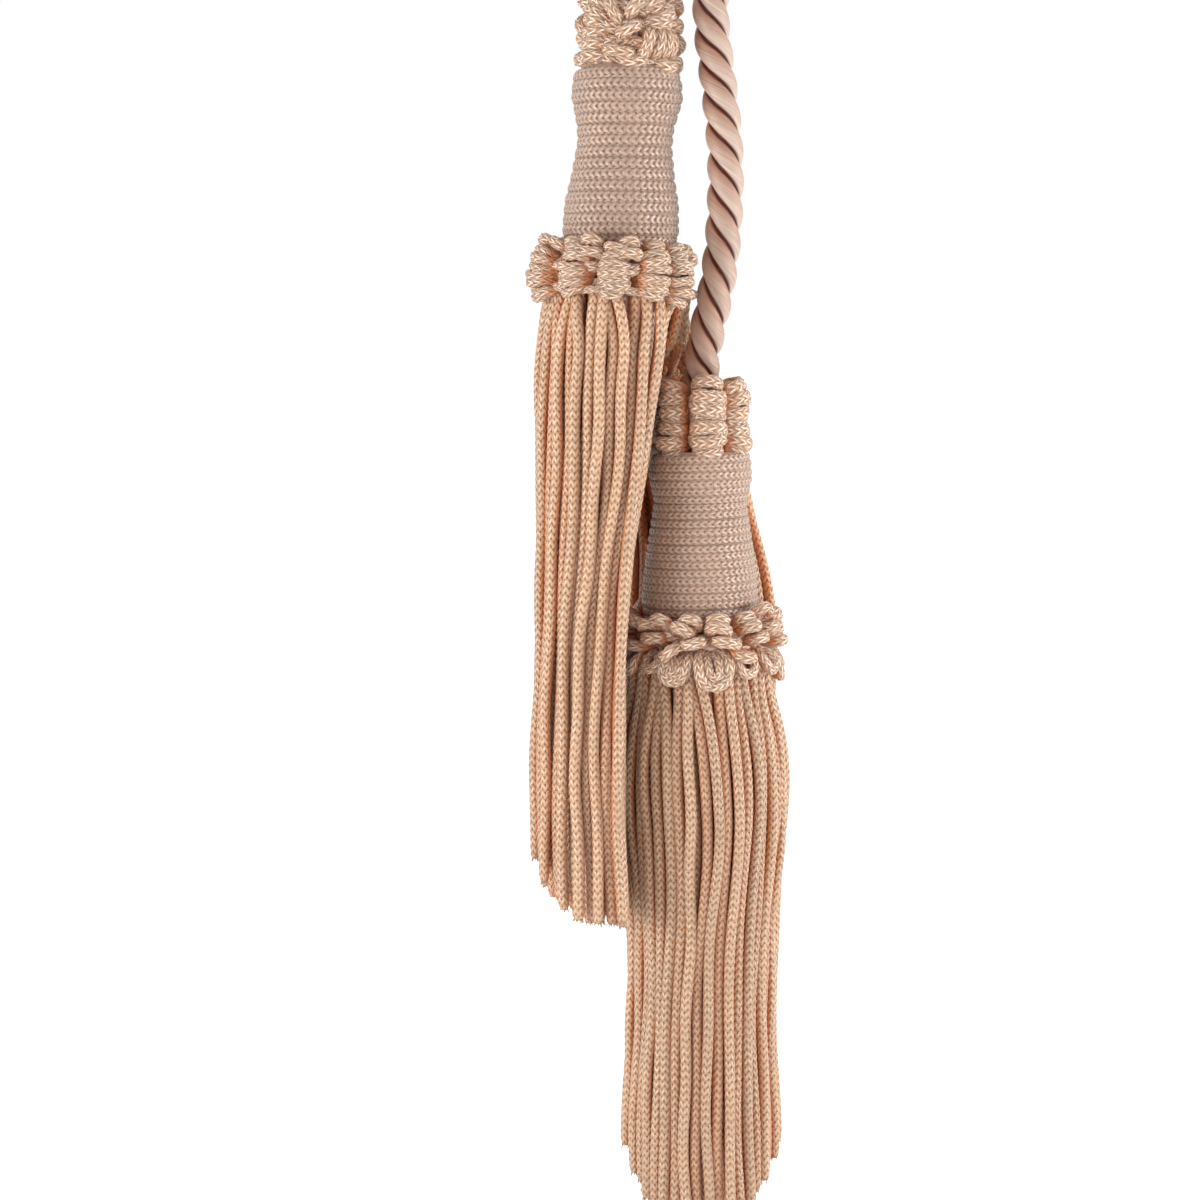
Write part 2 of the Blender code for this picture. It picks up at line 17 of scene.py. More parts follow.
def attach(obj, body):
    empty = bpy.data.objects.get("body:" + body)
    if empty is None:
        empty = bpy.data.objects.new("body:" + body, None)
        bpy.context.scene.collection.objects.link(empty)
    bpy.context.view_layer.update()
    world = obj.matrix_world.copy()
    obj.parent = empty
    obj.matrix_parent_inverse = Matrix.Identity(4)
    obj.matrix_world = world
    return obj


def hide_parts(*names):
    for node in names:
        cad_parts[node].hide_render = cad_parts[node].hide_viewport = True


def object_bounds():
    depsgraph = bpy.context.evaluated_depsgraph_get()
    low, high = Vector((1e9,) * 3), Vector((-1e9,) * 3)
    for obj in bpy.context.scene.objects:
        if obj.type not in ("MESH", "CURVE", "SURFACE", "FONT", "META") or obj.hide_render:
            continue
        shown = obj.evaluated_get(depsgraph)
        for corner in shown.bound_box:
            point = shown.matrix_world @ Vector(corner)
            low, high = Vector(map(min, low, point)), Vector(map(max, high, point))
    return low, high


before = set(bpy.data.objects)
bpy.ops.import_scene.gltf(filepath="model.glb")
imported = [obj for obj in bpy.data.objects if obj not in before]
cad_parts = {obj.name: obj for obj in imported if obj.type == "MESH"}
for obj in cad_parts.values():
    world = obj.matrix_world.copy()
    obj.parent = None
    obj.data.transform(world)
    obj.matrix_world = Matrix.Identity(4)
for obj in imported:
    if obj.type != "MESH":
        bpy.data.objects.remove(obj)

bl_info = {
    "name": "Double tassel",
    "version": (1, 0, 0),
    "blender": (4, 5, 0),
    "location": "View3D > Sidebar > Tassel",
    "description": "Makes two chainette tassels on a twisted rope, round their packed model",
    "category": "Add Mesh",
}

bpy.context.view_layer.update()
CAD_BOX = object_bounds()
MM = 0.001
BODY = "root"
UP = np.array((0.0, 0.0, 1.0))


def linear(hex_colour):
    """An sRGB hex colour as linear red, green and blue."""
    channels = [int(hex_colour[i : i + 2], 16) / 255 for i in (1, 3, 5)]
    return tuple(c / 12.92 if c <= 0.04045 else ((c + 0.055) / 1.055) ** 2.4 for c in channels)


# Where the pieces are

# The rope's centre line, from the lower head over the loop to the upper head: x, y and z in metres
ROPE_ROUTE = [
    (0.0084, 0.0016, -0.1227),
    (0.0083, 0.0016, -0.1170),
    (0.0084, 0.0013, -0.1110),
    (0.0087, 0.0006, -0.1056),
    (0.0097, -0.0004, -0.1000),
    (0.0110, -0.0015, -0.0935),
    (0.0120, -0.0021, -0.0860),
    (0.0125, -0.0022, -0.0779),
    (0.0125, -0.0019, -0.0695),
    (0.0117, -0.0013, -0.0603),
    (0.0105, -0.0007, -0.0510),
    (0.0099, -0.0003, -0.0410),
    (0.0118, 0.0000, -0.0315),
    (0.0146, 0.0000, -0.0222),
    (0.0160, 0.0000, -0.0125),
    (0.0139, 0.0000, -0.0045),
    (0.0080, 0.0000, 0.0014),
    (0.0000, 0.0000, 0.0035),
    (-0.0080, 0.0000, 0.0014),
    (-0.0139, 0.0000, -0.0045),
    (-0.0160, 0.0000, -0.0125),
    (-0.0146, 0.0001, -0.0210),
    (-0.0108, 0.0002, -0.0282),
    (-0.0068, 0.0003, -0.0340),
    (-0.0047, 0.0004, -0.0400),
    (-0.0046, 0.0004, -0.0465),
    (-0.0050, 0.0004, -0.0534),
]
ROPE_LENGTH = 0.206

# Each tassel's collar centre, and the lean of its head to the right
UPPER_PLACE = Matrix.Translation((-0.0067, 0.0004, -0.0900)) @ Matrix.Rotation(
    math.radians(2.7), 4, "Y")
LOWER_PLACE = Matrix.Translation((0.0084, 0.0016, -0.1593))

# The heads' outsides: height above the collar's centre and radius, in millimetres
UPPER_HEAD = [
    (-1.7, 9.9), (4.4, 10.0), (7.0, 10.6), (12.1, 10.35), (16.5, 9.45), (22.5, 8.6),
    (25.6, 8.8), (31.0, 10.1), (34.2, 9.8), (36.3, 8.9),
]
LOWER_HEAD = [
    (-1.7, 9.9), (4.4, 10.0), (8.5, 10.8), (13.0, 10.5), (19.6, 9.6), (23.5, 9.0),
    (27.0, 8.5), (31.5, 9.5), (34.5, 9.3), (36.3, 8.7),
]


class RopeSettings(bpy.types.PropertyGroup):
    """The twisted rope."""

    diameter: bpy.props.FloatProperty(
        name="Diameter", description="Across the three plies", default=6.7 * MM, unit="LENGTH")
    lay: bpy.props.FloatProperty(
        name="Lay", description="The length of one full twist", default=17.0 * MM, unit="LENGTH")
    colour: bpy.props.FloatVectorProperty(
        name="Colour", description="The satin on the plies", subtype="COLOR",
        default=linear("#E0CABC"))
    # Painted shade: the colour painted into the grooves between the plies
    painted_groove_shade: bpy.props.FloatVectorProperty(
        name="Groove", description="The satin deep between the plies", subtype="COLOR",
        default=linear("#5C1C0C"))
    # Painted highlight: the tint on the lighter side of each ply
    painted_ply_highlight: bpy.props.FloatVectorProperty(
        name="Edge-on tint", description="The side of a ply whose fibres lie edge-on",
        subtype="COLOR", default=linear("#FFFFFF"))
    # Painted shade: the tint on the darker side of each ply
    painted_ply_shade: bpy.props.FloatVectorProperty(
        name="End-on tint", description="The side of a ply whose fibres turn in",
        subtype="COLOR", default=linear("#CCA48E"))


class ChainetteSettings(bpy.types.PropertyGroup):
    """The knitted chainette."""

    width: bpy.props.FloatProperty(
        name="Strand width", description="Across one skirt strand", default=2.1 * MM,
        unit="LENGTH")
    stitch: bpy.props.FloatProperty(
        name="Stitch length", description="Along the chainette where it is wound or looped",
        default=1.25 * MM, unit="LENGTH")
    hanging_stitch: bpy.props.FloatProperty(
        name="Hanging stitch length", description="Along a strand that its weight stretches",
        default=1.38 * MM, unit="LENGTH")
    upper_pitch: bpy.props.FloatProperty(
        name="Upper winding pitch", description="From one turn on the upper head to the next",
        default=2.0 * MM, unit="LENGTH")
    lower_pitch: bpy.props.FloatProperty(
        name="Lower winding pitch", description="From one turn on the lower head to the next",
        default=1.47 * MM, unit="LENGTH")
    skirt: bpy.props.FloatVectorProperty(
        name="Skirt colour", description="The cut strands", subtype="COLOR",
        default=linear("#CAA07C"))
    head: bpy.props.FloatVectorProperty(
        name="Head colour", description="The chainette wound on the heads", subtype="COLOR",
        default=linear("#B49480"))
    ruff: bpy.props.FloatVectorProperty(
        name="Ruff colour", description="The gathered loops", subtype="COLOR",
        default=linear("#C69A78"))
    # Painted shade, not dye: the colour painted into the creases, where shade falls and light
    # bounces from yarn to yarn
    deep: bpy.props.FloatVectorProperty(
        name="Crease colour", description="The dye in the creases between strands",
        subtype="COLOR", default=linear("#D07A40"))
    # Painted shade: the tint that darkens each stitch hole, where shade falls into the gap
    hole: bpy.props.FloatVectorProperty(
        name="Stitch hole tint", description="What is left of the colour in a stitch hole",
        subtype="COLOR", default=linear("#A8745A"))
    # Painted highlight: the pale colour that the raised yarns are painted towards
    painted_yarn_highlight: bpy.props.FloatVectorProperty(
        name="Gleam", description="The raised yarns, where the light catches them",
        subtype="COLOR", default=linear("#F6E2D0"))


class StageSettings(bpy.types.PropertyGroup):
    """The camera, lights and floor."""

    view_width: bpy.props.FloatProperty(
        name="View width", description="What the camera takes in at the tassels",
        default=220.0 * MM, unit="LENGTH")
    view_centre: bpy.props.FloatVectorProperty(
        name="View centre", description="The point that the camera looks at",
        default=(-0.0101, 0.0, -0.1504), subtype="XYZ", unit="LENGTH")
    distance: bpy.props.FloatProperty(
        name="Camera distance", description="From the tassels to the camera",
        default=0.50, unit="LENGTH")
    camera_above: bpy.props.FloatProperty(
        name="Camera height", description="How far above the view centre the camera is",
        default=0.052, unit="LENGTH")
    floor_drop: bpy.props.FloatProperty(
        name="Floor drop", description="From the lowest strand to the floor",
        default=0.035, unit="LENGTH")
    floor_glow: bpy.props.FloatProperty(
        name="Floor glow", description="Light through the floor, as on a light table",
        default=0.5)
    floor: bpy.props.FloatVectorProperty(
        name="Floor colour", description="A plain pale floor", subtype="COLOR",
        default=linear("#F7F6F4"))


# Paths


def along(values, given, wanted):
    """Numbers or vectors that are given at some places on a path, at others."""
    if values.ndim == 1:
        return np.interp(wanted, given, values)
    return np.stack([np.interp(wanted, given, column) for column in values.T], axis=1)


def resample(path, step):
    """The same path with its points evenly spaced, about a step apart."""
    lengths = np.concatenate(([0.0], np.cumsum(np.linalg.norm(np.diff(path, axis=0), axis=1))))
    steps = max(2, round(lengths[-1] / step))
    return along(path, lengths, np.linspace(0.0, lengths[-1], steps + 1))


def spline_path(points, step, fine=600):
    """Points about a step apart along a natural cubic spline through the given points.

    The spline is worked out at so many fine points, which are then spaced evenly.
    """
    points = np.array(points, float)
    chords = np.linalg.norm(np.diff(points, axis=0), axis=1)
    knots = np.concatenate(([0.0], np.cumsum(chords)))
    last = len(points) - 1
    system = np.eye(last + 1)
    sides = np.zeros_like(points)
    for i in range(1, last):
        before = chords[i - 1]
        after = chords[i]
        system[i, i - 1 : i + 2] = (before, 2 * (before + after), after)
        slopes = (points[i + 1] - points[i]) / after - (points[i] - points[i - 1]) / before
        sides[i] = 6 * slopes
    bends = np.linalg.solve(system, sides)
    at = np.linspace(0.0, knots[-1], fine)
    i = np.clip(np.searchsorted(knots, at) - 1, 0, last - 1)
    width = chords[i][:, None]
    left = (knots[i + 1] - at)[:, None] / width
    right = (at - knots[i])[:, None] / width
    bend = (left**3 - left) * bends[i] + (right**3 - right) * bends[i + 1]
    return resample(left * points[i] + right * points[i + 1] + bend * width**2 / 6, step)


def unit(vectors):
    """Vectors of the same directions, each 1 long."""
    return vectors / np.linalg.norm(vectors, axis=-1, keepdims=True)


def carried_across(path, first):
    """A direction across a path at each of its points, carried along it without twisting."""
    tangents = unit(np.gradient(path, axis=0))
    across = np.empty_like(path)
    side = np.array(first, float)
    for i, tangent in enumerate(tangents):
        side = side - tangent * (side @ tangent)
        side = side / math.sqrt(side @ side)
        across[i] = side
    return across


# Chainette

# How far the yarn stands up and a hole goes down from there, as shares of the relief
STITCH_RELIEF = 0.06 * MM
YARN_RISE = 0.4
HOLE_DROP = 1.6
# The painted crease shade starts where a side faces outwards by this cosine, and is full at
# this much less
CREASE_SHADE_START = 0.75
CREASE_SHADE_RANGE = 1.35
# The least painted crease shade where a chainette lies deep
DEEP_CREASE_SHADE = 0.45
# How far, and over what size, slack yarn is pushed about
SLACK = 0.3 * MM
SLACK_SIZE = 1.6 * MM
SLACK_SEED = 4
# How squared off a chainette is where it is packed against others
PACKED_BOXY = 0.85


def bounce(values):
    """Up and down between 0 and 0.5, as the materials' ping-pong does."""
    return np.abs((values + 0.5) % 1.0 - 0.5)


def stitch_holes(wale, stitch):
    """How near a place on the knitting is to a hole: 1 at its middle, 0 on the yarn."""
    gap = 2.0 * bounce(stitch + bounce(wale))
    corner = 1.0 - 2.0 * bounce(2.0 * wale)
    return gap * corner


def sweep(bm, rings, crease, shade):
    """Lay a grid of faces over rings of points, with painted crease shade at each. Gives them."""
    rows, columns = rings.shape[:2]
    grid = bmesh.ops.create_grid(
        bm, x_segments=columns - 1, y_segments=rows - 1, size=1.0, calc_uvs=True)
    shade_layer = bm.faces.layers.float["shade"]
    crease_layer = bm.verts.layers.float["crease"]
    for vert, place, depth in zip(grid["verts"], rings.reshape(-1, 3), crease.reshape(-1)):
        vert.co = place
        vert[crease_layer] = depth
    faces = {face for vert in grid["verts"] for face in vert.link_faces}
    for face in faces:
        face[shade_layer] = shade
    return faces


def knit(bm, path, wide, outwards, width, thickness, shade, roll=None, taper=None, wales=5,
         sides=10, spacing=0.5, sunk=0.0, boxy=1.0, stitch=None):
    """Sweep a chainette along a path.

    wide is the direction of its width at each point and outwards the way out of the piece there.
    roll turns its section and taper is its share of the full size. shade tells the chainettes of
    a piece apart, and carries the painted light and painted shade that some pieces add. sunk says
    how deep this one lies, from 0 to 1, and raises its painted crease shade, which is painted where
    the surface faces in from outwards. wales and sides are counted round it, spacing is the
    stitches from one ring of points to the next, and boxy squares its section off, below 1.
    """
    stitch = stitch or bpy.context.scene.tassel_chainette.stitch
    given = np.linspace(0.0, 1.0, len(path))
    path = resample(path, stitch * spacing)
    count = len(path)
    share = np.linspace(0.0, 1.0, count)
    wide = along(wide, given, share)
    outwards = unit(along(outwards, given, share))
    roll = np.zeros(count) if roll is None else along(roll, given, share)
    taper = np.ones(count) if taper is None else along(taper, given, share)
    tangents = unit(np.gradient(path, axis=0))
    wide = unit(wide - tangents * (wide * tangents).sum(axis=1)[:, None])
    thin = np.cross(tangents, wide)
    angles = np.linspace(0.0, math.tau, sides + 1)[None, :] + roll[:, None]
    across, through = np.cos(angles), np.sin(angles)
    across = np.sign(across) * np.abs(across) ** boxy * width / 2
    through = np.sign(through) * np.abs(through) ** boxy * thickness / 2
    out = wide[:, None, :] * across[:, :, None] + thin[:, None, :] * through[:, :, None]
    wale = np.linspace(0.0, wales, sides + 1)[None, :]
    row = np.arange(count)[:, None] * spacing
    relief = STITCH_RELIEF * (YARN_RISE - HOLE_DROP * stitch_holes(wale, row))
    direction = unit(out)
    # Painted crease shade: more where the surface faces in, and more on a chainette that lies deep
    facing = (direction * outwards[:, None, :]).sum(axis=2)
    crease = np.clip((CREASE_SHADE_START - facing) / CREASE_SHADE_RANGE, 0.0, 1.0)
    crease = crease * (1.0 - DEEP_CREASE_SHADE * sunk) + DEEP_CREASE_SHADE * sunk
    rings = path[:, None, :] + (out + direction * relief[:, :, None]) * taper[:, None, None]
    stitches = (count - 1) * spacing
    uv_layer = bm.loops.layers.uv.active
    for face in sweep(bm, rings, crease, shade):
        for loop in face.loops:
            uv = loop[uv_layer].uv
            loop[uv_layer].uv = (uv.x * wales, uv.y * stitches)


def turn_profile(bm, profile, steps, crease=0.0, closed=False):
    """Turn a profile of (radius, height) points once about +Z, with painted crease shade."""
    crease_layer = bm.verts.layers.float["crease"]
    verts = [bm.verts.new((radius, 0.0, height)) for radius, height in profile]
    for vert in verts:
        vert[crease_layer] = crease
    pairs = [*zip(verts, verts[1:])]
    if closed:
        pairs.append((verts[-1], verts[0]))
    edges = [bm.edges.new(pair) for pair in pairs]
    bmesh.ops.spin(bm, geom=[*verts, *edges], cent=(0, 0, 0), axis=(0, 0, 1),
                   angle=math.tau, steps=steps, use_merge=True)


def slacken(bm):
    """Push a piece's surface about a little, as slack yarn lies, in the same way each run."""
    noise.seed_set(SLACK_SEED)
    for vert in bm.verts:
        vert.co += noise.noise_vector(vert.co / SLACK_SIZE) * SLACK


def new_knitting():
    """An empty bmesh with what the chainette's material reads."""
    bm = bmesh.new()
    bm.loops.layers.uv.new("UVMap")
    bm.faces.layers.float.new("shade")
    bm.verts.layers.float.new("crease")
    return bm


def finish_piece(name, bm, material, slot, *nodes):
    """Close a bmesh's seams and ends, and make it the piece that stands for these CAD nodes."""
    bmesh.ops.remove_doubles(bm, verts=bm.verts, dist=0.001 * MM)
    open_edges = [edge for edge in bm.edges if edge.is_boundary]
    bmesh.ops.holes_fill(bm, edges=open_edges, sides=0)
    bmesh.ops.recalc_face_normals(bm, faces=bm.faces)
    mesh = bpy.data.meshes.new(name)
    bm.to_mesh(mesh)
    bm.free()
    mesh.shade_smooth()
    mesh.materials.append(material)
    piece = bpy.data.objects.new(name, mesh)
    bpy.context.scene.collection.objects.link(piece)
    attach(piece, BODY)
    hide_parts(*nodes)
    return piece


# Skirts

# Rings of strands, outermost first: how many, and the ring's radius
STRAND_RINGS = [(42, 12.4 * MM), (27, 10.0 * MM), (18, 7.6 * MM), (10, 4.8 * MM)]
# How far each ring is turned from the last, in its own strands
RING_OFFSET = 0.37
OUTER_STRANDS = STRAND_RINGS[0][0]
# How far a strand's length is off, shorter or longer
LENGTH_SPREAD = (-1.0 * MM, 0.9 * MM)
# How sharply the hem rounds up towards its ends
ROUNDING_POWER = 5
# How far an outer strand lies in from its place: one shallow, the next deep
SHALLOW = (0.0 * MM, 0.35 * MM)
DEEP = (0.7 * MM, 1.2 * MM)
SUNK_AT_TOP = 0.35
# How deep an inner strand counts as lying, for its painted shade, when the deepest outer one is 1
INNER_SUNK = 0.9
# How strands differ: in their share of the full width, in radians turned for each metre down,
# in shade, and in the painted shade on those that lie deep
WIDTH_SPREAD = (0.94, 1.04)
TURNING = (8.0, 30.0)
SHADE_SPREAD = 0.6
SUNK_PAINTED_SHADE = 0.5
# A strand's thickness as a share of its width
STRAND_FLATNESS = 0.9
# How far the strands start above their first depth, and cross each other there
STRAND_START = 2.0 * MM
OUTER_CROSSING = 2.2 * MM
INNER_CROSSING = 1.0 * MM
# The shares of the full size of the last points before the cut
CUT_TAPER = (0.97, 0.88, 0.66)
# How far the strands wander sideways from this depth on, and how much of that each adds alone
WANDER = 0.7 * MM
LOOSE_DEPTH = 30 * MM
OWN_WANDER = 0.32
OWN_WAVES = (4.0, 8.0)
# The waves that neighbours share, to the side and to the back: their scale down a strand and
# from strand to strand, and their shift
SHARED_WAVES = ((17 * MM, 9 * MM, 0.0), (21 * MM, 8 * MM, 1.3))
# Loose bundles of filaments at a cut end: how many an outer strand has, and how far above the
# cut and out from the strand's middle they start, the last as a share of half its width
FRAYED_ENDS = 10
FRAY_START = 0.6 * MM
FRAY_OUT = 0.55
# Where a bundle's points are along it, and how it thins there
FRAY_SHARES = (0.0, 0.35, 0.7, 1.0)
FRAY_TAPER = (1.0, 0.9, 0.75, 0.4)
# How far it spreads, its length and thickness in millimetres, its shade, and its painted crease
# shade
FRAY_SPREAD = (-0.3, 0.5)
FRAY_LENGTH = (0.1, 0.8)
FRAY_THICKNESS = (0.2, 0.4)
FRAY_SHADE = (0.4, 1.0)
FRAY_CREASE_SHADE = 0.1

# The lower skirt's middle, x and y in metres
LOWER_SKIRT_CENTRE = (0.0091, 0.0016)
LOWER_SKIRT_HALF_WIDTH = 13.9 * MM
LOWER_SKIRT_LENGTH = 103.4 * MM
LOWER_SKIRT_ROUNDING = 11.0 * MM
# Depth below the collar's centre, and the spread of the strands there
LOWER_SKIRT_SPREAD = [
    (3.6 * MM, 1.0),
    (7.6 * MM, 1.02),
    (14.0 * MM, 1.12),
    (52.0 * MM, 1.135),
    (78.0 * MM, 1.12),
]
LOWER_TIP_SPREAD = 1.11
# By this depth the skirt's middle has slid from under the head to its own place
CENTRED_DEPTH = 24.0 * MM

UPPER_SKIRT_LENGTH = 117.6 * MM
UPPER_SKIRT_ROUNDING = 9.6 * MM
UPPER_SKIRT_LEFT = -21.6 * MM
# How near strands lie to each other and to what they part round
STRAND_PITCH = 2.12 * MM
STRAND_RADIUS = 1.1 * MM
PARTING_GAP = 0.3 * MM
PARTING_STEP = 2.05 * MM
# How often the strands push each other apart on a level, and how much of each push counts
COMB_ROUNDS = 60
COMB_SHARE = 0.7
# Which strands pass behind the lower tassel: those further than the offset in this direction
BEHIND_DIRECTION = math.radians(58)
BEHIND_OFFSET = 3.6 * MM
BEHIND_SHORTER = 7.0 * MM
# How evenly they fan out to the right, when 1 is quite evenly
FANNING = 0.9
# How far strands lean to the right and to the back for each metre down, till they hang straight
BEHIND_LEAN = (0.30, 0.30)
FRONT_LEAN = (-0.10, -0.02)
STRAIGHT_DEPTH = 60.0 * MM
# Depth below the collar's centre, and the right-hand limits of the strands in front and behind
UPPER_SKIRT_LIMITS = [
    (3.6 * MM, 4.0 * MM, 4.5 * MM),
    (7.5 * MM, 1.6 * MM, 5.6 * MM),
    (13.0 * MM, 0.6 * MM, 7.0 * MM),
    (20.0 * MM, -0.6 * MM, 10.0 * MM),
    (30.0 * MM, -2.0 * MM, 14.0 * MM),
    (44.0 * MM, -3.6 * MM, 19.6 * MM),
    (64.0 * MM, -5.4 * MM, 24.2 * MM),
    (86.0 * MM, -6.4 * MM, 23.6 * MM),
    (120.0 * MM, -6.6 * MM, 23.0 * MM),
]
# What the upper skirt parts round: depth below its collar's centre, and radius
PARTING_RADIUS = [
    (0.0 * MM, 3.6 * MM),
    (13.0 * MM, 4.4 * MM),
    (20.0 * MM, 9.4 * MM),
    (30.0 * MM, 9.6 * MM),
    (48.0 * MM, 10.6 * MM),
    (56.0 * MM, 13.0 * MM),
    (64.0 * MM, 16.3 * MM),
    (77.0 * MM, 16.5 * MM),
    (90.0 * MM, 15.8 * MM),
    (140.0 * MM, 15.4 * MM),
]


def strand_roots():
    """Where the strands leave the heading, as (x, y) from its centre, outermost ring first."""
    roots = []
    for ring_number, (count, radius) in enumerate(STRAND_RINGS):
        for i in range(count):
            angle = math.tau * (i + RING_OFFSET * ring_number) / count
            roots.append((radius * math.cos(angle), radius * math.sin(angle)))
    return np.array(roots)


def lower_strand_points(dice):
    """Each lower strand's (x, y, z) points: they hang straight, a little wider than the heading."""
    centre = LOWER_PLACE.translation
    strands = []
    for root_x, root_y in strand_roots():
        edge = min(1.0, abs(root_x) * LOWER_TIP_SPREAD / LOWER_SKIRT_HALF_WIDTH)
        length = LOWER_SKIRT_LENGTH - LOWER_SKIRT_ROUNDING * edge**ROUNDING_POWER
        length += dice.uniform(*LENGTH_SPREAD)
        points = []
        for depth, spread in [*LOWER_SKIRT_SPREAD, (length, LOWER_TIP_SPREAD)]:
            slide = min(1.0, depth / CENTRED_DEPTH)
            centre_x = centre.x + (LOWER_SKIRT_CENTRE[0] - centre.x) * slide
            points.append((
                centre_x + root_x * spread,
                LOWER_SKIRT_CENTRE[1] + root_y * spread,
                centre.z - depth,
            ))
        strands.append(points)
    return strands


def parting(depth, rising):
    """The centre and radius of what the upper skirt goes round at a depth."""
    z = UPPER_PLACE.translation.z - depth
    radius = float(np.interp(depth, *zip(*PARTING_RADIUS)))
    x = np.interp(z, rising[:, 2], rising[:, 0])
    y = np.interp(z, rising[:, 2], rising[:, 1])
    return np.array((x, y)), radius + STRAND_RADIUS + PARTING_GAP


def comb(places, behind, depth, rising):
    """Settle the strands on one level: apart, clear of the lower tassel, each on its own side."""
    centre, radius = parting(depth, rising)
    depths, front_limits, behind_limits = zip(*UPPER_SKIRT_LIMITS)
    limits = np.where(behind, np.interp(depth, depths, behind_limits),
                      np.interp(depth, depths, front_limits))
    for _ in range(COMB_ROUNDS):
        offsets = places[:, None, :] - places[None, :, :]
        distances = np.linalg.norm(offsets, axis=2)
        np.fill_diagonal(distances, 1.0)
        lacking = np.clip(STRAND_PITCH - distances, 0.0, None)
        moves = offsets / distances[:, :, None] * lacking[:, :, None] * 0.5
        places = places + moves.sum(axis=1) * COMB_SHARE
        from_centre = places - centre
        distance = np.linalg.norm(from_centre, axis=1)
        inside = distance < radius
        places[inside] = centre + from_centre[inside] / distance[inside, None] * radius
        places[:, 0] = np.clip(places[:, 0], UPPER_SKIRT_LEFT, limits)
    return places


def fanned(places, behind, depth):
    """Draw the strands behind out to the right, so that they show past the lower head."""
    depths, _, behind_limits = zip(*UPPER_SKIRT_LIMITS)
    limit = np.interp(depth, depths, behind_limits)
    order = np.argsort(places[:, 0])
    order = order[behind[order]]
    first = places[order[0], 0]
    wanted = np.linspace(first, limit, len(order))
    places = places.copy()
    places[order, 0] += FANNING * (wanted - places[order, 0])
    return places


def upper_strand_points(dice):
    """Each upper strand's (x, y, z) points, combed down past the lower tassel."""
    rope_path = spline_path(ROPE_ROUTE, PARTING_STEP, fine=2000)
    rising = rope_path[: len(rope_path) // 2]
    rising = rising[rising[:, 2] <= 0.0]
    centre = UPPER_PLACE.translation
    roots = strand_roots()
    direction = np.array((math.cos(BEHIND_DIRECTION), math.sin(BEHIND_DIRECTION)))
    behind = roots @ direction > BEHIND_OFFSET
    places = roots + np.array((centre.x, centre.y))
    depths = [limit[0] for limit in UPPER_SKIRT_LIMITS]
    levels = [places]
    for above, depth in zip(depths, depths[1:]):
        swing = (depth - above) * max(0.0, 1.0 - above / STRAIGHT_DEPTH)
        lean = np.where(behind[:, None], BEHIND_LEAN, FRONT_LEAN) * swing
        places = fanned(places + lean, behind, depth)
        places = comb(places, behind, depth, rising)
        levels.append(places)
    right_limit = UPPER_SKIRT_LIMITS[-1][1]
    strands = []
    for i in range(len(roots)):
        length = UPPER_SKIRT_LENGTH + dice.uniform(*LENGTH_SPREAD)
        if behind[i]:
            length -= BEHIND_SHORTER
        else:
            left = (levels[-1][i][0] - right_limit) / (UPPER_SKIRT_LEFT - right_limit)
            length -= UPPER_SKIRT_ROUNDING * max(0.0, left) ** (ROUNDING_POWER - 1)
        points = []
        for depth, level in zip(depths[:-1], levels):
            points.append((level[i][0], level[i][1], centre.z - depth))
        share = (length - depths[-2]) / (depths[-1] - depths[-2])
        end = levels[-2][i] + (levels[-1][i] - levels[-2][i]) * share
        points.append((end[0], end[1], centre.z - length))
        strands.append(points)
    return strands


def wander(path, root, dice):
    """Let a strand wander a little: in slow waves with its neighbours, and a little by itself."""
    depth = path[0, 2] - path[:, 2]
    loose = np.clip(depth / LOOSE_DEPTH, 0.0, 1.0) * WANDER
    phase = dice.uniform(0.0, math.tau)
    length = dice.uniform(*OWN_WAVES) * MM
    for axis, circling in enumerate((np.sin, np.cos)):
        down, apart, shift = SHARED_WAVES[axis]
        shared = np.sin(depth / down + root[axis] / apart + shift)
        path[:, axis] += loose * (shared + OWN_WANDER * circling(depth / length + phase))


def fray(bm, path, width, dice):
    """One loose bundle of filaments, three-sided, at the cut end of a strand."""
    angle = dice.uniform(0.0, math.tau)
    spread = dice.uniform(*FRAY_SPREAD)
    length = dice.uniform(*FRAY_LENGTH) * MM
    side = np.array((math.cos(angle), math.sin(angle), 0.0)) * width / 2
    start = path[-1] + side * FRAY_OUT + (0.0, 0.0, FRAY_START)
    line = np.array([start + side * spread * s * s - (0.0, 0.0, (length + FRAY_START) * s)
                     for s in FRAY_SHARES])
    thickness = dice.uniform(*FRAY_THICKNESS) * MM
    shade = dice.uniform(*FRAY_SHADE)
    wide = carried_across(line, (1.0, 0.0, 0.0))[:, None, :]
    thin = np.cross(unit(np.gradient(line, axis=0)), wide[:, 0])[:, None, :]
    angles = np.linspace(0.0, math.tau, 4)[:, None]
    out = wide * np.cos(angles) + thin * np.sin(angles)
    rings = line[:, None, :] + out * thickness / 2 * np.array(FRAY_TAPER)[:, None, None]
    sweep(bm, rings, np.full(rings.shape[:2], FRAY_CREASE_SHADE), shade)


def ways_out(places):
    """Away from its neighbours, for each strand on one level: the way out of the skirt."""
    offsets = places[:, None, :] - places[None, :, :]
    distances = np.linalg.norm(offsets, axis=2)
    np.fill_diagonal(distances, 1.0)
    pushes = (offsets / distances[:, :, None] ** 2).sum(axis=1)
    return unit(pushes)


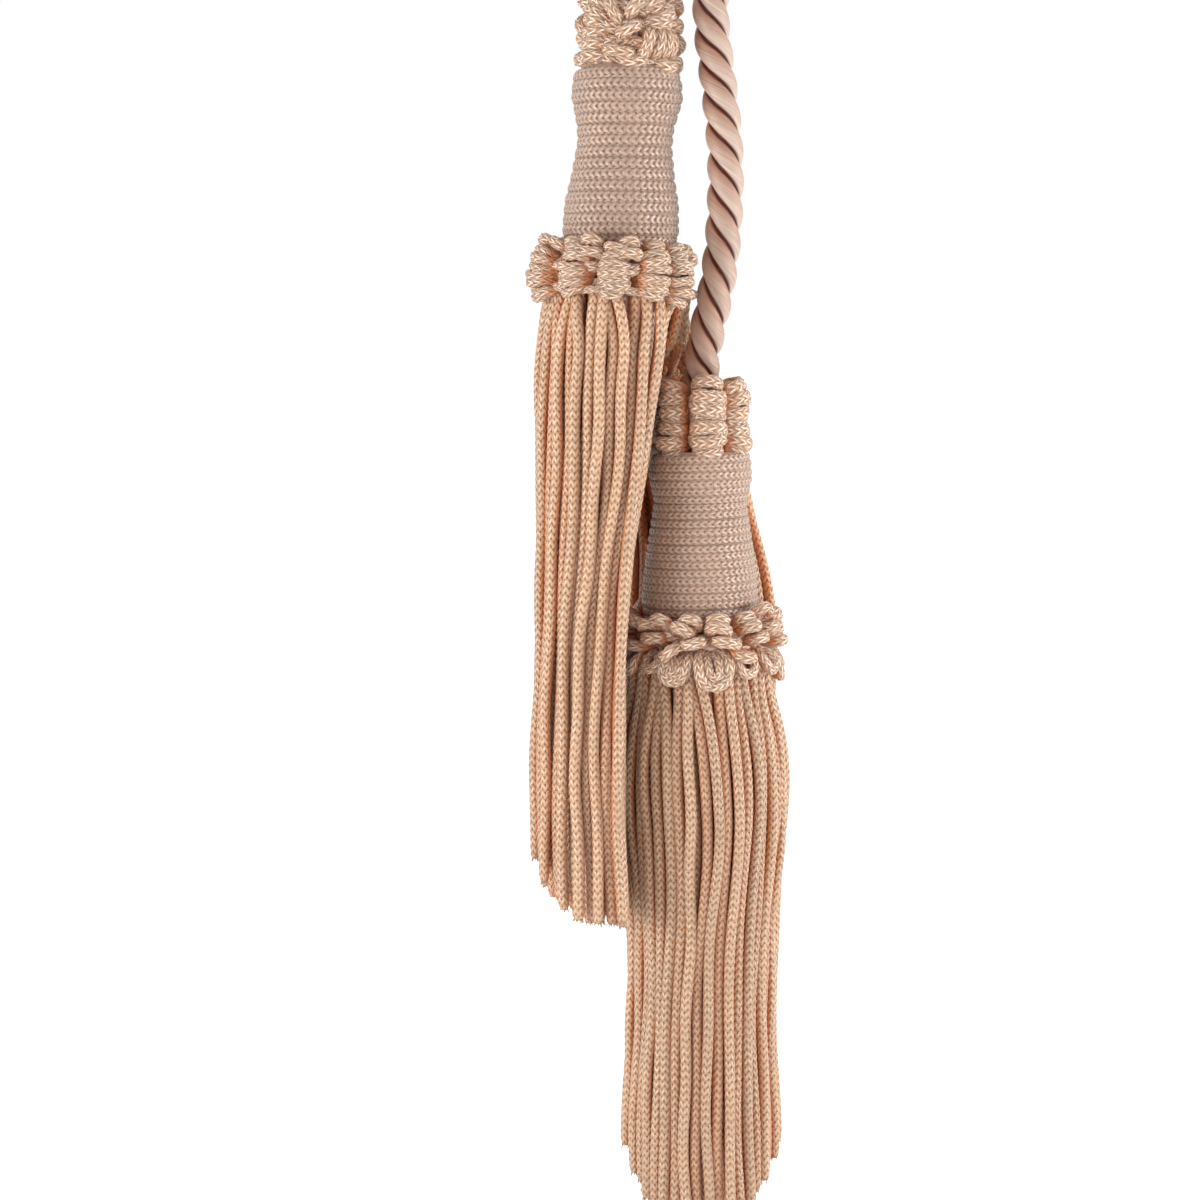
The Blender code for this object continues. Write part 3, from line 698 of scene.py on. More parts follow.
def skirt_strands(strands, dice, keep, painted_light):
    """Knit the strands whose number is in keep. Each second outer strand lies a little deeper.

    Deep strands get painted shade, and the skirt's painted light is added to every strand's tone.
    """
    chainette = bpy.context.scene.tassel_chainette
    roots = strand_roots()
    levels = np.array(strands)
    out = np.stack([ways_out(levels[:, k, :2]) for k in range(levels.shape[1])], axis=1)
    bm = new_knitting()
    for i, points in enumerate(levels):
        first_roll = dice.uniform(0.0, math.tau)
        turning = dice.choice((-1, 1)) * dice.uniform(*TURNING)
        phase = dice.uniform(0.0, math.tau)
        width = chainette.width * dice.uniform(*WIDTH_SPREAD)
        # A random tone for each strand, on top of the skirt's painted light
        shade = painted_light + dice.uniform(-SHADE_SPREAD, SHADE_SPREAD)
        own_dice = random.Random(i)
        sinking = dice.uniform(*(DEEP if i % 2 else SHALLOW))
        if i not in keep:
            continue
        outer = i < OUTER_STRANDS
        settled = points.copy()
        if outer:
            fade = np.linspace(SUNK_AT_TOP, 1.0, len(points)) ** 0.5
            settled[:, :2] -= out[i] * (sinking * fade)[:, None]
        around = np.array((-roots[i][1], roots[i][0])) / np.linalg.norm(roots[i])
        crossing = own_dice.uniform(-1.0, 1.0) * (OUTER_CROSSING if outer else INNER_CROSSING)
        settled[0, :2] += around * crossing
        settled[1, :2] += around * crossing * 0.5
        start = settled[0] + (0.0, 0.0, STRAND_START)
        start[:2] += around * crossing * 0.4
        settled = np.concatenate(([start], settled))
        path = spline_path(settled, chainette.hanging_stitch / 2)
        at = np.interp(-path[:, 2], -settled[:, 2], np.arange(len(settled)))
        turns = np.concatenate((out[i][:1], out[i]))
        level_out = along(turns, np.arange(len(turns)), at)
        outwards = np.column_stack((level_out, np.zeros(len(path))))
        wander(path, roots[i], own_dice)
        depth = path[0, 2] - path[:, 2]
        roll = first_roll + turning * depth + 0.5 * np.sin(depth / (9 * MM) + phase)
        taper = np.ones(len(path))
        taper[-len(CUT_TAPER) :] = CUT_TAPER
        wide = carried_across(path, (1.0, 0.0, 0.0))
        sunk = min(sinking / DEEP[1], 1.0) if outer else INNER_SUNK
        for _ in range(FRAYED_ENDS if outer else FRAYED_ENDS // 2):
            fray(bm, path, width, own_dice)
        # Deep strands are painted darker, as painted shade
        knit(bm, path, wide, outwards, width, width * STRAND_FLATNESS,
             shade - SUNK_PAINTED_SHADE * sunk, roll, taper, spacing=0.5 if outer else 1.0, sunk=sunk,
             stitch=chainette.hanging_stitch)
    return bm


# Wound heads

# The winding: its thickness, its ends from the head's top and the collar's centre, how far a turn
# laps over the next, and how far it strays up and down
WINDING_THICKNESS = 1.3 * MM
WINDING_TOP = 0.4 * MM
WINDING_BOTTOM = 2.0 * MM
WINDING_LAP = 1.1
WINDING_STRAY = 0.13 * MM
# How much of its thickness lies inside the head's outside, and the radians that it rolls by
WINDING_SINK = 0.45
WINDING_ROLL = 0.12
HEAD_STEPS = 60
# How far inside the head's outside the mould is
MOULD_DEPTH = 0.75 * MM


def wound_head(place, sections, pitch, shade, dice):
    """Chainette wound flat in a close spiral over a turned mould."""
    chainette = bpy.context.scene.tassel_chainette
    heights, radii = (np.array(column) * MM for column in zip(*sections))
    bm = new_knitting()
    top = heights[-1] - WINDING_TOP
    turns = round((top - WINDING_BOTTOM) / pitch)
    at = np.linspace(0.0, turns, turns * HEAD_STEPS)
    stray = WINDING_STRAY * np.sin(at * math.tau * 0.37) * np.sin(at * 1.7 + dice.uniform(0, 6))
    z = top + (WINDING_BOTTOM - top) * at / turns + stray
    radius = np.interp(z, heights, radii) - WINDING_THICKNESS * WINDING_SINK
    angle = -math.tau * at + 0.5 * math.pi
    path = np.stack([radius * np.cos(angle), radius * np.sin(angle), z], axis=1)
    path = resample(path, chainette.stitch / 4)
    reach = 0.5 * MM
    above = np.interp(path[:, 2] + reach, heights, radii)
    below = np.interp(path[:, 2] - reach, heights, radii)
    slope = (above - below) / (2 * reach)
    outwards = unit(path * (1.0, 1.0, 0.0))
    wide = unit(UP + outwards * slope[:, None])
    out = unit(outwards - UP * slope[:, None])
    roll = WINDING_ROLL * np.sin(np.linspace(0.0, turns * 2.3, len(path)))
    knit(bm, path, wide, out, pitch * WINDING_LAP, WINDING_THICKNESS, shade, roll, wales=4,
         sides=16, spacing=0.25, boxy=PACKED_BOXY)
    mould = [(max(radius - MOULD_DEPTH, 0.1 * MM), height)
             for height, radius in zip(heights, radii)]
    turn_profile(bm, mould, HEAD_STEPS)
    bmesh.ops.transform(bm, matrix=place, verts=bm.verts)
    return bm


# Ruffs and collars: gathered loops

# How far out from the head's axis the loops of a collar and of a crown are sewn
COLLAR_ROOT = 10.9 * MM
HANGING_ROOT = 11.4 * MM
CROWN_ROOT = 4.4 * MM
# The turned bands that they are sewn to: inner and outer radius
COLLAR_BAND = (10.4 * MM, 11.4 * MM)
CROWN_BAND = (4.2 * MM, 5.0 * MM)
CROWN_BAND_HEIGHTS = (36.8 * MM, 46.5 * MM)
# Where the rope beside the upper collar holds its loops back, in degrees right of the front, and
# how far they reach there, in millimetres
HELD_DEGREES = (52, 104)
HELD_REACH = 2.6
# The unevenness of handwork in each number of a loop's row
UNEVENNESS = (1.5, 0.12, 0.35, 0.3, 4.0, 5.0, 7.0)
LOOP_SHADE = (0.1, 0.9)
BAND_STEPS = 36
# A loop's legs: where they bend as a share of their length, how they spread as shares of the
# loop's half width, and the shortest that they are
LEG_BEND = 0.6
LEG_SPREAD = np.array((0.45, 0.85))
SHORTEST_LEG = 0.4 * MM
# How far a loop's points stray from its plane, in millimetres
LOOP_STRAY = 0.14
# How far a loop's way out of the piece is its own, and how far the head's
OWN_WAY_OUT, HEAD_WAY_OUT = 0.8, 0.2
# A clump's end loops are smaller by this share than its middle one, and rise by these degrees
CLUMP_BULGE = 0.14
TOP_RISE, BOTTOM_RISE = 24.0, -22.0
# A hanging loop's legs, and how far out from the band it hangs at these depths
HANGING_BEND = 0.3 * MM
HANGING_SPREAD = np.array((0.5, 0.75, 1.0))
HANGING_DEPTHS = (0.0 * MM, 1.0 * MM, 3.0 * MM, 8.0 * MM)
HANGING_OUT = (-0.4 * MM, 1.9 * MM, 3.2 * MM, 3.7 * MM)
# A wider one than this, in millimetres, has another loop of this share of its size inside
ROOMY_WIDTH = 6.0
INSIDE_SIZE = 0.55

# Clumps of loops on the front: degrees right of the front, heights of the top and the bottom
# loop above the collar's centre, number of loops, width, reach, turn to the right, roll. In
# millimetres and degrees.
UPPER_COLLAR_STANDING = [
    (-56, 3.2, 1.4, 2, 5.2, 5.2, -10, -12),
    (-40, 3.0, 1.6, 2, 4.6, 5.0, 0, 12),
    (-22, 3.7, 1.8, 3, 5.2, 5.4, 5, -8),
    (-31, 2.3, 0.9, 2, 4.2, 5.2, -8, -6),
    (7, 3.6, 1.4, 3, 5.0, 5.4, 0, 4),
    (27, 3.2, 1.6, 3, 4.6, 5.2, 5, 0),
    (45, 3.0, 1.2, 3, 4.8, 5.2, 10, 8),
    (66, 2.6, 0.8, 2, 4.8, 4.2, 10, 8),
]
UPPER_COLLAR_FANS = [
    (-60, 1.0, -4.0, 7, 6.2, 7.2, -30, -6),
    (-26, 1.6, -2.6, 6, 6.6, 6.8, -40, 4),
    (-3, 1.9, -2.9, 7, 6.1, 5.8, 0, 0),
    (16, 1.2, -2.9, 6, 6.6, 7.0, 46, 4),
    (41, 1.0, -3.4, 6, 6.2, 6.8, 34, -2),
]
LOWER_CROWN_CLUMPS = [
    (-50, 46.8, 42.6, 4, 5.6, 5.4, -4, 6),
    (-47, 41.2, 37.2, 4, 6.2, 5.6, -4, -4),
    (8, 47.4, 43.0, 4, 7.0, 5.9, 0, -6),
    (10, 41.6, 37.4, 4, 7.4, 6.0, 0, 5),
    (60, 47.0, 42.6, 4, 6.8, 5.5, 4, 8),
    (63, 41.2, 37.2, 4, 7.0, 5.6, 4, -4),
]

# Single loops on the front: degrees right of the front, height above the collar's centre,
# width, reach, rise of the loop, turn to the right, roll. In millimetres and degrees.
LOWER_COLLAR_FRONT = [
    # Standing fans
    (-34, 4.1, 4.4, 5.2, 34, -8, 14),
    (-42, 4.1, 4.2, 5.4, 18, -14, 12),
    (-36, 2.5, 5.4, 5.2, 6, -22, 6),
    (-10, 4.4, 4.9, 5.0, 36, 0, 2),
    (-14, 3.7, 5.0, 5.6, 18, -6, -16),
    (-8, 2.2, 5.0, 5.4, 2, 6, 14),
    (12, 4.5, 4.7, 5.0, 38, 0, -2),
    (12, 3.7, 5.3, 5.5, 20, 0, -10),
    (17, 2.2, 6.2, 5.5, 3, 6, -9),
    (34, 4.7, 4.2, 5.2, 36, 5, -0),
    (36, 3.9, 4.6, 5.6, 20, 10, 6),
    (42, 2.6, 5.0, 5.6, 6, 16, 10),
    (-62, 3.9, 5.0, 5.2, 30, -10, -0),
    (-58, 1.3, 5.6, 5.2, 2, -16, -8),
    (56, 5.1, 4.8, 5.4, 44, 8, -20),
    (60, 3.5, 5.4, 5.4, 16, 10, -0),
    (-23, 1.1, 5.2, 5.6, -8, -4, 36),
    (31, 0.3, 5.6, 5.2, -12, 18, -8),
]
# The lower collar's hanging loops: degrees right of the front, width, drop, lean of the loop
LOWER_COLLAR_HANGING = [
    (-42, 5.0, 4, 8),
    (-20, 6.6, 6, -6),
    (8, 7.6, 6.8, 2),
    (36, 5.6, 4.8, -10),
    (62, 5.4, 4.6, 0),
    (-66, 5.4, 4.8, 0),
]
UPPER_CROWN_FRONT = [
    (-2, 42.0, 5.2, 6.4, 4, 0, 35),
    (-14, 38.7, 6.4, 6.0, -4, 0, -6),
    (20, 40.3, 6.6, 6.0, 0, 4, 80),
    (33, 40.5, 7.0, 5.8, 0, 8, 82),
    (46, 40.5, 7.0, 5.6, 0, 10, 84),
    (60, 40.4, 6.8, 5.4, 0, 12, 86),
    (8, 45.6, 6.8, 5.6, 22, 0, 50),
    (-22, 44.8, 6.8, 5.6, 18, -6, -52),
    (26, 46.2, 6.4, 5.6, 26, 10, 24),
    (44, 44.6, 6.4, 5.6, 10, 12, 14),
    (34, 43.4, 6.6, 5.8, 8, 12, 4),
    (-48, 46.4, 6.2, 5.4, 24, -14, -30),
    (-46, 44.8, 6.4, 5.6, 12, -14, -26),
    (-47, 43.2, 6.2, 5.8, 8, -14, -10),
    (-46, 41.6, 6.2, 5.8, 2, -14, 8),
    (-48, 40.0, 6.0, 5.8, -4, -14, 4),
    (-50, 38.3, 6.2, 5.8, -10, -14, 0),
    (50, 37.5, 6.0, 5.8, -14, 12, 4),
    (6, 37.6, 6.0, 5.0, -14, 0, 4),
]


def compass(degrees):
    """The angle about +Z of a direction so many degrees right of the front."""
    return math.radians(degrees - 90)


def loop_outline(leg, spread, straight, bow, half):
    """A loop's places along it and across it: up one leg, round the bow, and down the other."""
    turning = np.linspace(-0.5 * math.pi, 0.5 * math.pi, 9)
    forward = np.concatenate((leg, straight + bow * np.cos(turning), leg[::-1]))
    side = np.concatenate((-spread, np.sin(turning), spread[::-1])) * half
    return forward, side


def knit_loop(bm, points, square, outwards, yarn, thickness, roll, dice, **shape):
    """Knit a loop through its points. square is the direction square to the loop's plane."""
    path = spline_path(points, 0.5 * MM, fine=240)
    wide = unit(np.cross(unit(np.gradient(path, axis=0)), square))
    knit(bm, path, wide, np.tile(outwards, (len(path), 1)), yarn, thickness,
         dice.uniform(*LOOP_SHADE), np.full(len(path), roll), **shape)


def add_loop(bm, radius, row, yarn, flat, dice, loose=0.0):
    """A chainette loop that goes out from the head, round, and back, more uneven if loose."""
    if loose:
        row = [value + dice.uniform(-most, most) * loose for value, most in zip(row, UNEVENNESS)]
    degrees, height, width, reach, rise, turn, roll = row
    radial = Matrix.Rotation(compass(degrees), 3, "Z") @ Vector((1.0, 0.0, 0.0))
    root = np.array(radial * radius) + (0.0, 0.0, height * MM)
    heading = Matrix.Rotation(math.radians(turn), 3, "Z") @ radial
    up = Vector(UP)
    out = heading * math.cos(math.radians(rise)) + up * math.sin(math.radians(rise))
    across = Matrix.Rotation(math.radians(roll), 3, out) @ up.cross(heading)
    square = np.array(out.cross(across))
    half = (width * MM - yarn) / 2
    reach = reach * MM - yarn / 2
    straight = max(reach - half, SHORTEST_LEG)
    leg = np.array((0.0, straight * LEG_BEND))
    forward, side = loop_outline(leg, LEG_SPREAD, straight, reach - straight, half)
    stray = np.array([dice.uniform(-LOOP_STRAY, LOOP_STRAY) * MM for _ in forward])
    points = root + np.array(out) * forward[:, None] + np.array(across) * side[:, None]
    points = points + square * stray[:, None]
    outwards = np.array(out) * OWN_WAY_OUT + np.array(radial) * HEAD_WAY_OUT
    knit_loop(bm, points, square, outwards, yarn, yarn * flat, 0.0, dice, wales=6, sides=12,
              boxy=PACKED_BOXY)


def add_clump(bm, radius, clump, yarn, flat, dice, loose=1.0):
    """Loops packed one under another, like a gathered frill that bulges."""
    degrees, top, bottom, count, width, reach, turn, roll = clump
    for share in np.linspace(0.0, 1.0, count):
        bulge = 1.0 - CLUMP_BULGE + CLUMP_BULGE * math.sin(math.pi * share)
        row = (degrees, top + (bottom - top) * share, width * bulge, reach * bulge,
               TOP_RISE + (BOTTOM_RISE - TOP_RISE) * share, turn, roll)
        add_loop(bm, radius, row, yarn, flat, dice, loose)


def add_hanging_loop(bm, row, yarn, dice):
    """A loop that falls open over the skirt, with a smaller one inside it if there is room."""
    degrees, width, drop, lean = row
    radial = np.array(Matrix.Rotation(compass(degrees), 3, "Z") @ Vector((1.0, 0.0, 0.0)))
    around = np.cross(UP, radial)
    lean = math.radians(lean)
    for size in (1.0, INSIDE_SIZE) if width > ROOMY_WIDTH else (1.0,):
        half = (width * MM * size - yarn) / 2
        straight = drop * MM * (0.35 + 0.65 * size) - yarn / 2 - half
        leg = np.array((0.0, HANGING_BEND, straight * 0.5))
        down, side = loop_outline(leg, HANGING_SPREAD, straight, half, half)
        out = np.interp(down, HANGING_DEPTHS, HANGING_OUT)
        sideways = side * math.cos(lean) + down * math.sin(lean)
        sinking = down * math.cos(lean) - side * math.sin(lean)
        root = radial * HANGING_ROOT + UP * (0.2 - 0.8 * (1.0 - size)) * MM
        points = root + radial * out[:, None] + around * sideways[:, None]
        points = points - UP * sinking[:, None]
        knit_loop(bm, points, radial, radial, yarn, yarn * 0.9, dice.uniform(-0.5, 0.5), dice)


def add_band(bm, radii, bottom, top):
    """The turned band that the loops are sewn to, with painted crease shade."""
    inner, outer = radii
    corners = [(outer, top), (outer, bottom), (inner, bottom), (inner, top)]
    turn_profile(bm, corners, BAND_STEPS, DEEP_CREASE_SHADE, closed=True)


def add_hem(bm, radius, height, yarn, dice):
    """A chainette once round under the loops, with 9 and 14 waves in and out, and 7 up and down."""
    start = dice.uniform(0.0, math.tau)
    turn = np.linspace(0.0, math.tau, 180)
    wave = np.sin(9 * turn + start) + 0.6 * np.sin(14 * turn)
    around = radius + 0.25 * MM * wave
    path = np.stack([around * np.cos(turn + 0.5 * math.pi), around * np.sin(turn + 0.5 * math.pi),
                     height + 0.2 * MM * np.sin(7 * turn + start)], axis=1)
    outwards = unit(path * (1.0, 1.0, 0.0))
    knit(bm, path, np.tile(UP, (len(path), 1)), outwards, yarn, yarn, 0.5, wales=6, sides=12)


def fill_round(front_end, behind_end, count):
    """Evenly spaced degrees for the loops that go on round the back."""
    step = (behind_end - front_end) / count
    return [front_end + step * (i + 0.5) for i in range(count)]


def held(degrees):
    """Whether the rope beside the upper collar holds its loops back here."""
    return HELD_DEGREES[0] < degrees < HELD_DEGREES[1]


def upper_ruche(bm, dice):
    """The upper collar: short stacks standing, over taller stacks that hang."""
    add_band(bm, COLLAR_BAND, -2.5 * MM, 3.6 * MM)
    for clump in UPPER_COLLAR_STANDING:
        add_clump(bm, COLLAR_ROOT, clump, 2.1 * MM, 1.0, dice)
    for clump in UPPER_COLLAR_FANS:
        add_clump(bm, COLLAR_ROOT, clump, 1.8 * MM, 1.0, dice)
    add_hem(bm, 13.8 * MM, -3.8 * MM, 1.6 * MM, dice)
    for degrees in fill_round(64, 282, 10):
        reach = HELD_REACH if held(degrees) else 4.8
        for height, rise in ((3.0, 30), (1.8, 14)):
            row = (degrees, height, 4.5, reach, rise, 0, 0)
            add_loop(bm, COLLAR_ROOT, row, 2.1 * MM, 1.1, dice, loose=1.6)
    for degrees in fill_round(60, 282, 9):
        reach = HELD_REACH if held(degrees) else 5.2
        turn = dice.choice((-30, 0, 30))
        for height, rise in ((2.1, 6), (0.4, 0), (-1.3, -8), (-3.0, -16)):
            row = (degrees, height, 5.6, reach, rise, turn, 0)
            add_loop(bm, COLLAR_ROOT, row, 2.0 * MM, 1.3, dice, loose=1.4)


def lower_ruche(bm, dice):
    """The lower collar: fans of loops that stand up, over open loops that hang."""
    add_band(bm, COLLAR_BAND, -1.5 * MM, 3.0 * MM)
    for row in LOWER_COLLAR_FRONT:
        add_loop(bm, 11.0 * MM, row, 2.3 * MM, 0.95, dice)
    for row in LOWER_COLLAR_HANGING:
        add_hanging_loop(bm, row, 2.1 * MM, dice)
    for degrees in range(-70, 71, 20):
        row = (degrees, 2.6, 5.0, 2.6, 20, 0, 0)
        add_loop(bm, 10.6 * MM, row, 2.3 * MM, 1.0, dice, loose=1.0)
    for degrees in fill_round(70, 286, 10):
        for height, rise in ((3.8, 38), (2.6, 18), (1.2, 3)):
            row = (degrees, height, 4.9, 5.3, rise, 0, 0)
            add_loop(bm, 11.0 * MM, row, 2.1 * MM, 1.15, dice, loose=1.6)
    for degrees in fill_round(74, 286, 9):
        row = (degrees, dice.uniform(5.2, 6.8), dice.uniform(6.0, 7.6), dice.uniform(-9, 9))
        add_hanging_loop(bm, row, 2.1 * MM, dice)


def upper_rosette(bm, dice):
    """The upper head's crown: loops that burst out every way from the rope."""
    add_band(bm, CROWN_BAND, *CROWN_BAND_HEIGHTS)
    for row in UPPER_CROWN_FRONT:
        add_loop(bm, CROWN_ROOT, row, 2.5 * MM, 0.95, dice)
    for degrees in (-58, -30, -6, 16, 38, 60):
        for height, rise in ((37.6, -10), (40.2, 0), (42.8, 6), (45.4, 18)):
            row = (degrees, height, 5.8, 4.3, rise, 0, dice.uniform(-30, 30))
            add_loop(bm, 4.2 * MM, row, 2.4 * MM, 1.0, dice, loose=1.0)
    for height, rise, first in ((37.9, -8, 66), (40.6, 0, 74), (43.2, 10, 64), (45.8, 24, 72)):
        for degrees in fill_round(first, first + 228, 6):
            row = (degrees, height, 5.8, 5.4, rise, 0, dice.uniform(-40, 40))
            add_loop(bm, 4.6 * MM, row, 2.4 * MM, 1.0, dice, loose=1.0)


def lower_stacks(bm, dice):
    """The lower head's crown: clumps of level loops, stacked one on another."""
    add_band(bm, CROWN_BAND, *CROWN_BAND_HEIGHTS)
    for clump in LOWER_CROWN_CLUMPS:
        add_clump(bm, CROWN_ROOT, clump, 1.8 * MM, 1.5, dice, loose=0.8)
    for degrees in (112, 163, 215, 267):
        clump = (degrees, 47.2, 37.2, 5, 7.0, 5.3, 0, 0)
        add_clump(bm, CROWN_ROOT, clump, 2.2 * MM, 1.3, dice)


# The rope

PLY_POINTS = 20
# Where a ply's middle is, and half its width, as shares of the rope's radius
PLY_MIDDLE = 0.52
PLY_HALF_WIDTH = 0.57


def rope_section(diameter):
    """The outline of three round plies pressed together, a hidden curve that the rope sweeps."""
    crest = diameter / 2
    middle = crest * PLY_MIDDLE
    deep = crest - middle
    wide = crest * PLY_HALF_WIDTH
    outline = bpy.data.curves.new("rope_section", "CURVE")
    spline = outline.splines.new("POLY")
    spline.points.add(3 * PLY_POINTS - 1)
    spline.use_cyclic_u = True
    for i, point in enumerate(spline.points):
        angle = -math.tau * i / (3 * PLY_POINTS)
        from_crest = (angle + math.pi / 3) % (math.tau / 3) - math.pi / 3
        a = (math.cos(from_crest) / deep) ** 2 + (math.sin(from_crest) / wide) ** 2
        b = math.cos(from_crest) * middle / deep**2
        c = (middle / deep) ** 2 - 1.0
        radius = (b + math.sqrt(max(b * b - a * c, 0.0))) / a
        point.co = (radius * math.cos(angle), radius * math.sin(angle), 0.0, 1.0)
    return outline


def make_rope():
    """Three plies laid together, from the lower head over the loop to the upper head."""
    settings = bpy.context.scene.tassel_rope
    section = bpy.data.objects.new("rope_section", rope_section(settings.diameter))
    bpy.context.scene.collection.objects.link(section)
    path = spline_path(ROPE_ROUTE, 0.5 * MM, fine=3000)
    curve = bpy.data.curves.new("rope_line", "CURVE")
    curve.dimensions = "3D"
    curve.resolution_u = 1
    curve.bevel_mode = "OBJECT"
    curve.bevel_object = section
    curve.use_fill_caps = True
    spline = curve.splines.new("POLY")
    spline.points.add(len(path) - 1)
    step = np.linalg.norm(path[1] - path[0])
    for i, place in enumerate(path):
        spline.points[i].co = (*place, 1.0)
        spline.points[i].tilt = -math.tau * i * step / settings.lay
    line = bpy.data.objects.new("rope_line", curve)
    bpy.context.scene.collection.objects.link(line)
    evaluated = line.evaluated_get(bpy.context.evaluated_depsgraph_get())
    bm = bmesh.new()
    mesh = bpy.data.meshes.new_from_object(evaluated)
    bm.from_mesh(mesh)
    for leftover in (line, section):
        bpy.data.objects.remove(leftover)
    bpy.data.meshes.remove(mesh)
    return bm, path


# Materials


def set_inputs(tree, node, links):
    """Give a node's inputs their values, or link them to nodes or sockets."""
    for name, value in links.items():
        if isinstance(value, bpy.types.Node):
            value = value.outputs[0]
        if isinstance(value, bpy.types.NodeSocket):
            tree.links.new(value, node.inputs[name])
        else:
            node.inputs[name].default_value = value


def add_node(tree, kind, links=None, **settings):
    """Add a node. links gives its inputs nodes, sockets or values, and settings its properties."""
    node = tree.nodes.new(kind)
    for name, value in settings.items():
        setattr(node, name, value)
    set_inputs(tree, node, links or {})
    return node


def new_material(name):
    """A new material, its nodes, and the shader that they end in."""
    material = bpy.data.materials.new(name)
    material.use_nodes = True
    tree = material.node_tree
    return material, tree, tree.nodes["Principled BSDF"]


def rgba(colour, lightness=1.0):
    """A linear colour, made lighter or darker, with its alpha."""
    return (*(min(channel * lightness, 1.0) for channel in colour), 1.0)


def chainette_material(name, colour, settings, slant, crease_shading, hole_shading, yarn_highlight_strength, unevenness):
    """Rayon chainette, knitted: soft bright yarns, a small hole in painted shade at each crossing.

    The UV map counts wales across and stitches along. Painted shade deepens the colour in the
    creases, for the shade there and the light that goes from yarn to yarn, and a painted highlight
    lightens the raised yarns. slant says how steeply the yarns run, the next three numbers how much
    the painted crease shade, the painted shade in each hole and the painted highlight show, and
    unevenness how irregular the stitches are.
    """
    material, tree, shader = new_material(name)
    uv = add_node(tree, "ShaderNodeUVMap", uv_map="UVMap")
    split = add_node(tree, "ShaderNodeSeparateXYZ", {"Vector": uv})
    wale = split.outputs["X"]
    stitch = split.outputs["Y"]
    # A zigzag across the wales slants the yarns one way, then the other
    zigzag = add_node(tree, "ShaderNodeMath", {0: wale, 1: 0.5}, operation="PINGPONG")
    along_yarn = add_node(
        tree, "ShaderNodeMath", {0: zigzag, 1: slant, 2: stitch}, operation="MULTIPLY_ADD")
    half_gap = add_node(tree, "ShaderNodeMath", {0: along_yarn, 1: 0.5}, operation="PINGPONG")
    gap = add_node(tree, "ShaderNodeMath", {0: half_gap, 1: 2.0}, operation="MULTIPLY")
    columns = add_node(tree, "ShaderNodeMath", {0: wale, 1: 2.0}, operation="MULTIPLY")
    off_corner = add_node(tree, "ShaderNodeMath", {0: columns, 1: 0.5}, operation="PINGPONG")
    corner = add_node(
        tree, "ShaderNodeMath", {0: off_corner, 1: -2.0, 2: 1.0}, operation="MULTIPLY_ADD")
    rounded = add_node(
        tree, "ShaderNodeMath", {0: corner, 1: 0.6, 2: 0.4}, operation="MULTIPLY_ADD")
    sunken_at = add_node(tree, "ShaderNodeMath", {0: gap, 1: rounded}, operation="MULTIPLY")
    place = add_node(tree, "ShaderNodeTexCoord")
    specks = add_node(tree, "ShaderNodeTexNoise", {
        "Vector": place.outputs["Object"], "Scale": 1000.0, "Detail": 2.0, "Roughness": 0.6})
    uneven = add_node(tree, "ShaderNodeMath", {
        0: specks, 1: unevenness, 2: -0.5 * unevenness}, operation="MULTIPLY_ADD")
    near_hole = add_node(tree, "ShaderNodeMath", {0: sunken_at, 1: uneven}, operation="ADD")
    # Painted shade in each stitch hole: the colour there is darkened by the hole tint
    dark = add_node(tree, "ShaderNodeMapRange", {
        "Value": near_hole, "From Min": 0.42, "From Max": 0.95,
        "To Max": hole_shading}, interpolation_type="SMOOTHSTEP")
    # Painted highlight: the raised yarns are painted towards a pale highlight colour, most on their
    # crests
    near_end = add_node(
        tree, "ShaderNodeMath", {0: corner, 1: 0.45, 2: gap}, operation="MULTIPLY_ADD")
    off_crest = add_node(tree, "ShaderNodeMath", {0: near_end, 1: uneven}, operation="ADD")
    lit = add_node(tree, "ShaderNodeMapRange", {
        "Value": off_crest, "From Min": 0.75, "From Max": 0.15,
        "To Max": yarn_highlight_strength}, interpolation_type="SMOOTHSTEP")

    patches = add_node(tree, "ShaderNodeTexNoise", {
        "Vector": place.outputs["Object"], "Scale": 160.0, "Detail": 3.0, "Roughness": 0.65})
    # Filaments of the yarn, drawn about three times as coarse as they are
    across_yarn = add_node(tree, "ShaderNodeMath", {0: wale, 1: 1.5}, operation="MULTIPLY")
    fine = add_node(tree, "ShaderNodeMath", {0: along_yarn, 1: 9.0}, operation="MULTIPLY")
    spun = add_node(tree, "ShaderNodeCombineXYZ", {"X": across_yarn, "Y": fine})
    filaments = add_node(tree, "ShaderNodeTexNoise", {
        "Vector": spun, "Scale": 1.0, "Detail": 1.0, "Roughness": 0.5})
    # The shade attribute: each chainette's own tone, with the painted light and painted shade that
    # some pieces add
    strand = add_node(tree, "ShaderNodeAttribute", attribute_name="shade")
    by_strand = add_node(tree, "ShaderNodeMath", {
        0: strand.outputs["Fac"], 1: 0.45, 2: -0.35}, operation="MULTIPLY_ADD")
    by_filament = add_node(tree, "ShaderNodeMath", {
        0: filaments, 1: 0.5, 2: by_strand}, operation="MULTIPLY_ADD")
    lightness = add_node(tree, "ShaderNodeMath", {
        0: patches, 1: 0.7, 2: by_filament}, operation="MULTIPLY_ADD")
    tone_and_painted_light = add_node(tree, "ShaderNodeMix", {
        "Factor": lightness, 6: rgba(colour, 0.74), 7: rgba(colour, 1.09)}, data_type="RGBA")
    yarn_highlighted = add_node(tree, "ShaderNodeMix", {
        "Factor": lit, 6: tone_and_painted_light.outputs[2], 7: rgba(settings.painted_yarn_highlight)}, data_type="RGBA")
